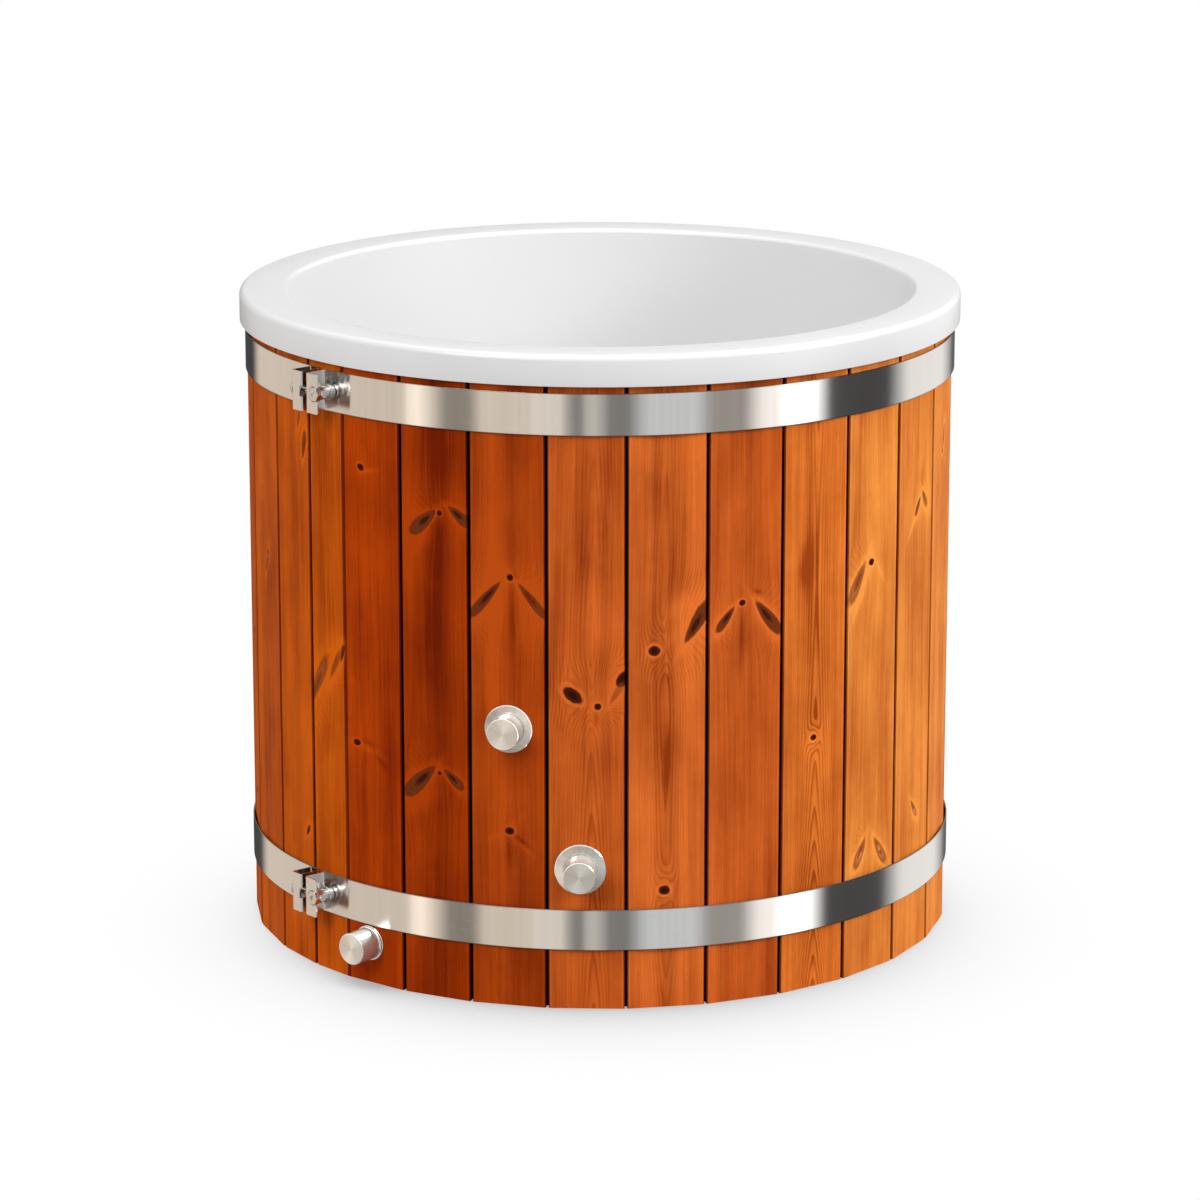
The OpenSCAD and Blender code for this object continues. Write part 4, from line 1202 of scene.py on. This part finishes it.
@dataclass
class Hoop:
    """One steel strip round the barrel, its ends folded into the two lugs of the clamp."""

    name: str
    angle: float
    low: float
    width: float = 0.062
    thickness: float = 0.002
    edge: float = 0.0006
    radius: float = 0.5401
    gap: float = 0.010
    lug_depth: float = 0.034
    closed_width: float = 0.023
    open_width: float = 0.028
    bend: float = 0.002
    bolt_out: float = 0.023
    slot_height: float = 0.016
    notch: float = 0.0237
    nut_x: float = 0.02375
    lug_step: float = 0.0015
    corner: float = 0.003
    bolt_hole: float = 0.0052
    steps: int = 360
    sharp: float = 24

    def path(self) -> list[tuple[float, float]]:
        """The strip's middle line in plan, in the clamp's frame: X to the right, Y outwards."""
        t = self.thickness
        mid, turn = self.radius + t / 2, self.bend + t / 2
        face = self.radius + t + self.lug_depth - t / 2
        wall = self.gap / 2 + t / 2
        right = [(self.gap / 2 + self.open_width, face)]
        right += arc((wall + turn, face - turn), turn, 90, 180, 6)
        right += arc((wall + turn, mid + turn), turn, 180, 270, 6)
        left = arc((-wall - turn, mid + turn), turn, 270, 360, 6)
        left += arc((-wall - turn, face - turn), turn, 0, 90, 6)
        back = self.gap / 2 + self.closed_width - t / 2
        left += arc((-back + turn, face - turn), turn, 90, 180, 6)
        left.append((-back, self.radius + t + 0.0003))
        first = math.degrees(math.atan2(mid, wall + turn))
        sweep = 360 - 2 * (90 - first)
        ring = [(mid * math.cos(a), mid * math.sin(a))
                for a in (math.radians(first - sweep * k / self.steps)
                          for k in range(1, self.steps))]
        return right + ring + left

    def cutters(self) -> list[Object]:
        """Tools for the slot in the gap, bolt hole, notch, stepped edges and rounded corners."""
        name, t, mid = self.name + "_cut", self.thickness, self.low + self.width / 2
        bolt = self.radius + t + self.bolt_out
        face = self.radius + t + self.lug_depth
        foot, notch, high = self.radius + t + 0.0004, self.notch / 2, self.slot_height / 2
        across = Matrix.Translation((-0.05, bolt, mid)) @ Matrix.Rotation(math.pi / 2, 4, "Y")
        inwards = (Matrix.Translation((self.nut_x, face - 0.01, mid))
                   @ Matrix.Rotation(-math.pi / 2, 4, "X"))
        low, top = self.low + self.lug_step, self.low + self.width - self.lug_step
        return [
            block(name, (-self.gap / 2 - self.bend - t, bolt, mid - high),
                  (-self.gap / 4, face + 0.02, mid + high)),
            rod(name, across, self.bolt_hole, 0, 0.1, 32),
            rod(name, inwards, notch, 0, 0.04),
            block(name, (self.nut_x, face - 0.01, mid - notch * 0.86),
                  (self.nut_x + 0.03, face + 0.03, mid + notch * 0.86)),
            block(name, (-0.06, foot, self.low - 0.01), (0.06, self.radius + 0.08, low)),
            block(name, (-0.06, foot, top),
                  (0.06, self.radius + 0.08, self.low + self.width + 0.01)),
            self._corner(low, 1.0), self._corner(top, -1.0)]

    def _corner(self, edge: float, up: float) -> Object:
        """The tool that rounds one free corner of the open lug's front plate.

        Args:
            edge: Height of the plate's edge.
            up: 1 for the lower corner, -1 for the upper one.

        Returns:
            The tool.
        """
        bm = bmesh.new()
        end = self.gap / 2 + self.open_width
        face = self.radius + self.thickness + self.lug_depth
        outline = [(end + 0.002, edge - up * 0.002), (end - self.corner, edge - up * 0.002)]
        outline += [(end - self.corner + across, edge + up * (self.corner + rise))
                    for across, rise in arc((0, 0), self.corner, -90, 0, 6)]
        outline.append((end + 0.002, edge + up * self.corner))
        near = [bm.verts.new((x, face - 0.004, z)) for x, z in outline]
        far = [bm.verts.new((x, face + 0.004, z)) for x, z in outline]
        bm.faces.new(near)
        bm.faces.new(list(reversed(far)))
        for k in range(len(outline)):
            n = (k + 1) % len(outline)
            bm.faces.new([near[k], far[k], far[n], near[n]])
        return from_bmesh(self.name + "_cut", bm)

    def _flatten(self, mesh: Mesh) -> None:
        """Marks the strip's long edges sharp, so that its face is shaded upright."""
        middle, reach = self.low + self.width / 2, self.width / 2 - self.edge
        for line in mesh.edges:
            first, second = (mesh.vertices[k].co.z - middle for k in line.vertices)
            if abs(first - second) < 1e-6 and abs(abs(first) - reach) < 2e-5:
                line.use_edge_sharp = True

    def build(self, model: NodeModel) -> None:
        """Sweeps the strip along its path, cuts its lugs and puts it in the place of its CAD node.

        Args:
            model: The node model of a strip on a path.
        """
        line, mid = self.path(), self.low + self.width / 2
        steel = BrushedStrip(mid, self.width / 2).make("hoop_steel_" + self.name)
        base = bpy.data.meshes.new(self.name + "_path")
        links = [(k, k + 1) for k in range(len(line) - 1)]
        base.from_pydata([(x, y, mid) for x, y in line], links, [])
        mesh = model.mesh(base, Strip_width=self.width, Strip_thickness=self.thickness,
                          Edge_radius=self.edge, Finish=steel)
        piece = plain_object(self.name + "_strip", mesh)
        carve(piece, self.cutters())
        cut = piece.data
        turn = Matrix.Rotation(math.radians(self.angle + 180), 4, "Z")
        cut.transform(turn @ Matrix.Scale(-1, 4, (1, 0, 0)))
        bm = bmesh.new()
        bm.from_mesh(cut)
        bmesh.ops.recalc_face_normals(bm, faces=bm.faces)
        bm.to_mesh(cut)
        bm.free()
        shade(cut, self.sharp)
        self._flatten(cut)
        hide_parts(self.name)
        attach(piece, "tub")
        paint(piece, steel)


@dataclass
class ThreadedTube:
    """A steel tube with a screw thread, from the inside of the tub out to a screw cap."""

    name: str
    frame: Matrix
    tip: float
    inside: tuple[tuple[float, float], ...]
    bore: float = 0.017
    crest: float = 0.02095
    pitch: float = 0.002309
    foot: float = -0.006
    run_in: float = 0.0025
    run_out: float = 0.002
    eased: float = 0.0003
    around: int = 80

    @classmethod
    def spigot(cls, name: str, frame: Matrix, back: float, tip: float) -> ThreadedTube:
        """The tube of a port, with a round flange on the liner's inner face at "back"."""
        rim, thick, turn = 0.031, 0.004, 0.002
        low = -back - thick
        corner = arc((rim - turn, low + turn), turn, -90, 0, 6)
        return cls(name, frame, tip, (
            (cls.bore, low), *corner, (rim, low + thick), (cls.crest, low + thick)))

    @classmethod
    def pipe(cls, name: str, frame: Matrix, back: float, tip: float) -> ThreadedTube:
        """The pipe of the drain, with a collar behind the staves."""
        bore, outside, collar, low, high = 0.013, 0.016, 0.02595, -0.0421, -0.0381
        return cls(name, frame, tip, (
            (cls.bore, 0.0), (bore, 0.0), (bore, -back), (outside, -back), (outside, low),
            (collar, low), (collar, high), (cls.crest, high)))

    def build(self, model: NodeModel, finish: Material) -> None:
        """Turns the tube, winds its thread and puts it in the place of its CAD node.

        Args:
            model: The node model of a thread.
            finish: The tube's material.
        """
        ridge = self.pitch * 0.64
        core = self.crest - ridge
        bm = bmesh.new()
        section = [*self.inside, (self.crest, self.foot), (core, self.foot + ridge),
                   (core, self.tip - self.eased), (core - self.eased, self.tip),
                   (self.bore, self.tip)]
        lathe(bm, section, Matrix(), self.around, closed=True)
        blank = from_bmesh(self.name + "_blank", bm)
        base = blank.data
        bpy.data.objects.remove(blank)
        start = self.foot + self.run_in
        length = self.tip - self.run_out - start
        mesh = model.mesh(base, Core_radius=core, Ridge=ridge, Turns=length / self.pitch,
                          Length=length, Start=(0.0, 0.0, start), Finish=finish)
        mesh.transform(self.frame)
        shade(mesh, SMOOTH_ANGLE)
        piece = plain_object(self.name + "_tube", mesh)
        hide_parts(self.name)
        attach(piece, "tub")
        log.info("built %s", piece.name)


class PortKind(Enum):
    """What a port's flange and tube are like."""

    WALL = "a turned flange, and a spigot through the liner"
    DRAIN = "a polished flange, and a pipe from under the liner"


@dataclass(frozen=True)
class Port:
    """A screw-capped port: its place on a stave and its sizes.

    "out" is how far the cap stands out, "back" where the tube starts and "rim" the flange's radius.
    """

    name: str
    kind: PortKind
    stave: int
    side: float
    height: float
    out: float
    back: float
    rim: float = 0.0
    cap_radius: float = 0.024
    flange_height: float = 0.003
    cap_roof: float = 0.0072

    def frame(self, ring: StaveRing, distance: float) -> Matrix:
        """The port's frame at a distance from the barrel's axis."""
        return outward_frame(ring.angle(self.stave), self.side, distance, self.height)

    def dress(self, nodes: dict[str, Object], ring: StaveRing, thread: NodeModel,
              steel: Material) -> None:
        """Gives the cap and flange their turned steel and builds the threaded tube.

        Args:
            nodes: The CAD nodes by name.
            ring: The staves.
            thread: The node model of a thread.
            steel: The tube's material.
        """
        frame = self.frame(ring, ring.face(self.stave))
        # The cap's steel has the painted fan highlight and a painted glint round the edge of its
        # face.
        cap = TurnedSteel(frame, edges=((self.cap_radius, self.out),))
        paint(nodes[self.name + "_cap"], cap.make(f"turned_steel_{self.name}_cap"))
        flange, tip = nodes[self.name + "_flange"], self.out - self.cap_roof
        if self.kind is PortKind.DRAIN:
            # A weaker painted fan highlight on the polished drain flange.
            polished = TurnedSteel(frame, (0.82, 0.81, 0.80), 0.08, 1.0, depth=0.00001, painted_fan=0.1)
            paint(flange, polished.make("bright_steel_drain"))
            tube = ThreadedTube.pipe(self.name + "_pipe", frame, self.back, tip)
        else:
            # The flange's steel has the painted fan highlight and a painted glint round its rim.
            turned = TurnedSteel(frame, (0.80, 0.77, 0.72), 0.22, turn=20, painted_fan=0.38,
                                 edges=((self.rim, self.flange_height),))
            paint(flange, turned.make(f"turned_steel_{self.name}_flange"))
            tube = ThreadedTube.spigot(self.name + "_spigot", frame, self.back, tip)
        tube.build(thread, steel)


@dataclass
class Fittings:
    """The three ports and the small parts, most of them hidden."""

    ports: tuple[Port, ...] = (
        Port("upper", PortKind.WALL, 2, 0.001, 0.423, 0.034, 0.06187, 0.036),
        Port("lower", PortKind.WALL, 1, -0.009, 0.214, 0.046, 0.06248, 0.038),
        Port("drain", PortKind.DRAIN, 4, -0.012, 0.062, 0.044, 0.112))

    def dress(self, nodes: dict[str, Object], ring: StaveRing) -> None:
        """Gives the parts their finishes.

        Args:
            nodes: The CAD nodes by name.
            ring: The staves.
        """
        machined = BrightSteel((0.72, 0.71, 0.69), 0.28)
        parts = (
            ("bolt_steel", BrightSteel(), ("tension_bolts", "barrel_nuts", "clamp_washers")),
            ("fitting_steel", machined, ("drain_strainer",)),
            ("white_plastic", MouldedPlastic((0.83, 0.83, 0.82), 0.4),
             ("port_grilles", "drain_outlet", "drain_nut")),
            ("grey_plastic", MouldedPlastic((0.10, 0.11, 0.115), 0.42), ("drain_elbow",)),
            ("seal_rubber", Rubber(), ("port_gaskets", "drain_gasket", "upper_cap_seal",
                                       "lower_cap_seal", "drain_cap_seal")),
            ("foam", CellFoam(), ("wall_foam", "floor_foam")))
        made = {}
        for slot, finish, names in parts:
            made[slot] = finish.make(slot)
            for name in names:
                paint(nodes[name], made[slot])
        for name, run in (("bearers", (0.9, 26, 26)), ("floor_boards", (26, 0.9, 26))):
            paint(nodes[name], PlainPine(run).make("plain_pine_" + name))
        thread = thread_model()
        for port in self.ports:
            port.dress(nodes, ring, thread, made["fitting_steel"])


@dataclass
class Studio:
    """The pale studio: floor, world, lamps and camera.

    "lamps" are names, places, sizes and powers. "panels" stand round the horizon for reflections:
    each one's first and last angle in degrees, 0 in front and rising rightwards, its light and
    its warmth.
    """

    white: float = 1.0
    fill: float = 0.50
    shadow: float = 1.7
    shadow_most: float = 0.6
    shadow_reach: float = 0.42
    shadow_lean: float = 0.35
    aim: tuple[float, float, float] = (0, 0, 0.5)
    camera_place: tuple[float, float, float] = (0.0, -7.5916, 2.4180)
    camera_down: float = 14.293
    lens: float = 151.45
    sensor: float = 36.0
    sight: float = 200.0
    floor_half: float = 40.0
    lamps: tuple[tuple[str, Sequence[float], float, float], ...] = (
        ("key", (5.4, -2.2, 3.7), 2.6, 255), ("front", (-3.6, -4.9, 4.4), 3.2, 215),
        ("top", (0.9, 0.3, 5.2), 3.2, 62))
    panels: tuple[tuple[float, float, float, float], ...] = (
        (-180, -152, 0.05, 0), (-144, -66, 0.55, 1.1), (-63, -60, 0.95, 1.0), (-50, -42, 0.20, 1.0),
        (-38, -24, 0.55, 1.1), (-21, -13, 0.65, 0.7), (-8, -6, 0.20, 0.5), (-4, -1, 0.50, 0.5),
        (3, 9, 0.20, 0.3), (15, 31, 0.60, -0.1), (36, 47, 0.30, 0.5), (53, 60, 0.95, 0.3),
        (62, 69, 2.00, 0), (79, 106, 0.06, 0), (118, 145, 0.80, 0.2), (162, 180, 0.10, 0))

    def world(self) -> None:
        """White for the camera, panels for reflections, plain light for the rest."""
        world = bpy.data.worlds.new("studio")
        bpy.context.scene.world = world
        world.use_nodes = True
        g = Graph(world.node_tree)
        x, y, rise = g.split(g.out("ShaderNodeTexCoord", port=0))
        turn = x.math("ARCTAN2", -y) * (1 / (2 * math.pi)) + 0.5
        stops = [((edge + 180) / 360, (light * (1 + 0.15 * warm), light, light * (1 - 0.15 * warm)))
                 for start, end, light, warm in self.panels for edge in (start, end)]
        bands = g.out("ShaderNodeValToRGB", {"stops": stops}, {0: turn})
        wisp = g.noise(g.join(turn * 330, 0.0, 0.0), detail=2) * 1.15 + 0.70
        walls = g.mix(rise.band(0.12, 0.55), g.scaled(bands, wisp), (1.12, 1.12, 1.12))
        room = g.mix(rise.band(-0.40, -0.72), walls, (0.26, 0.255, 0.25))
        rays = g.node("ShaderNodeLightPath")
        seen = Sock(g, rays.outputs["Is Camera Ray"])
        shown = seen.math("MAXIMUM", Sock(g, rays.outputs["Is Transmission Ray"]))
        plain, mirrored, white = (
            g.node("ShaderNodeBackground", values={"Color": colour, "Strength": strength})
            for colour, strength in (((1, 1, 1, 1), self.fill), (room, 1.0),
                                     ((1, 1, 1, 1), self.white)))
        lit = self._either(g, rays.outputs["Is Glossy Ray"], plain, mirrored)
        g.node("ShaderNodeOutputWorld", values={
            "Surface": self._either(g, shown, lit, white).outputs[0]})

    @staticmethod
    def _either(g: Graph, share: Value, first: Node, second: Node) -> Node:
        """Mixes two shaders."""
        return g.node("ShaderNodeMixShader", values={
            0: share, 1: first.outputs[0], 2: second.outputs[0]})

    def floor(self) -> Object:
        """A wide pale floor that shows white, but for the object's shadow near its foot."""
        bm = bmesh.new()
        bmesh.ops.create_grid(bm, x_segments=8, y_segments=8, size=self.floor_half)
        mesh = bpy.data.meshes.new("floor")
        bm.to_mesh(mesh)
        bm.free()
        ground = plain_object("studio_floor", mesh)
        material, g = new_material("studio_floor")
        rays = g.node("ShaderNodeLightPath")
        near = g.node("ShaderNodeAmbientOcclusion", {"samples": 24}, {
            "Distance": self.shadow_reach, "Normal": g.join(0.0, self.shadow_lean, 1.0)})
        hidden = 1 - Sock(g, near.outputs["AO"])
        dark = (hidden ** 3 * self.shadow).math("MINIMUM", self.shadow_most)
        seen = g.node("ShaderNodeEmission", values={
            "Color": g.mix(dark, (1.0, 1.0, 1.0), (0.02, 0.0, 0.0))})
        matt = g.node("ShaderNodeBsdfDiffuse", values={"Color": (0.92, 0.92, 0.92, 1)})
        both = self._either(g, rays.outputs["Is Camera Ray"], matt, seen)
        g.node("ShaderNodeOutputMaterial", values={"Surface": both.outputs[0]})
        mesh.materials.append(material)
        ground.visible_glossy = False
        return ground

    def lamp(self, name: str, place: Sequence[float], size: float, power: float) -> Object:
        """Adds a square soft lamp that faces the tub."""
        data = bpy.data.lights.new(name, "AREA")
        data.size, data.energy = size, power
        made = plain_object(name, data)
        made.location = place
        towards = Vector(self.aim) - Vector(place)
        made.rotation_euler = towards.to_track_quat("-Z", "Y").to_euler()
        return made

    def camera(self) -> None:
        """The camera at the photograph's place, looking down at the tub."""
        data = bpy.data.cameras.new("camera")
        data.sensor_width, data.lens, data.clip_end = self.sensor, self.lens, self.sight
        made = plain_object("camera", data)
        made.location = self.camera_place
        made.rotation_euler = (math.radians(90 - self.camera_down), 0.0, 0.0)
        bpy.context.scene.camera = made

    def build(self) -> None:
        """Sets everything up."""
        bpy.context.scene.view_settings.view_transform = "Standard"
        self.world()
        ground = bpy.data.collections.new("studio_ground")
        ground.objects.link(self.floor())
        ground.collection_objects[0].light_linking.link_state = "EXCLUDE"
        for name, place, size, power in self.lamps:
            self.lamp(name, place, size, power).light_linking.receiver_collection = ground
        self.camera()


def clear_scene() -> None:
    """Removes what a new Blender file holds."""
    for thing in list(bpy.data.objects):
        bpy.data.objects.remove(thing)


def main(frame: dict) -> None:
    """Builds and dresses the tub and its studio.
    """
    logging.basicConfig(level=logging.INFO, format="%(name)s: %(message)s")
    nodes = frame["nodes"]
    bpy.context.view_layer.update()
    Studio().build()
    ring, liner, fittings = StaveRing(), Liner(), Fittings()
    ring.dress(nodes)
    liner.build([port.frame(ring, liner.wall_radius) for port in fittings.ports
                 if port.kind is PortKind.WALL])
    strip = strip_model()
    for hoop in (Hoop("hoop_upper", -48.7, 0.8631), Hoop("hoop_lower", -50.6, 0.091)):
        hoop.build(strip)
    fittings.dress(nodes, ring)


if __name__ == "__main__":
    clear_scene()
    main(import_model())
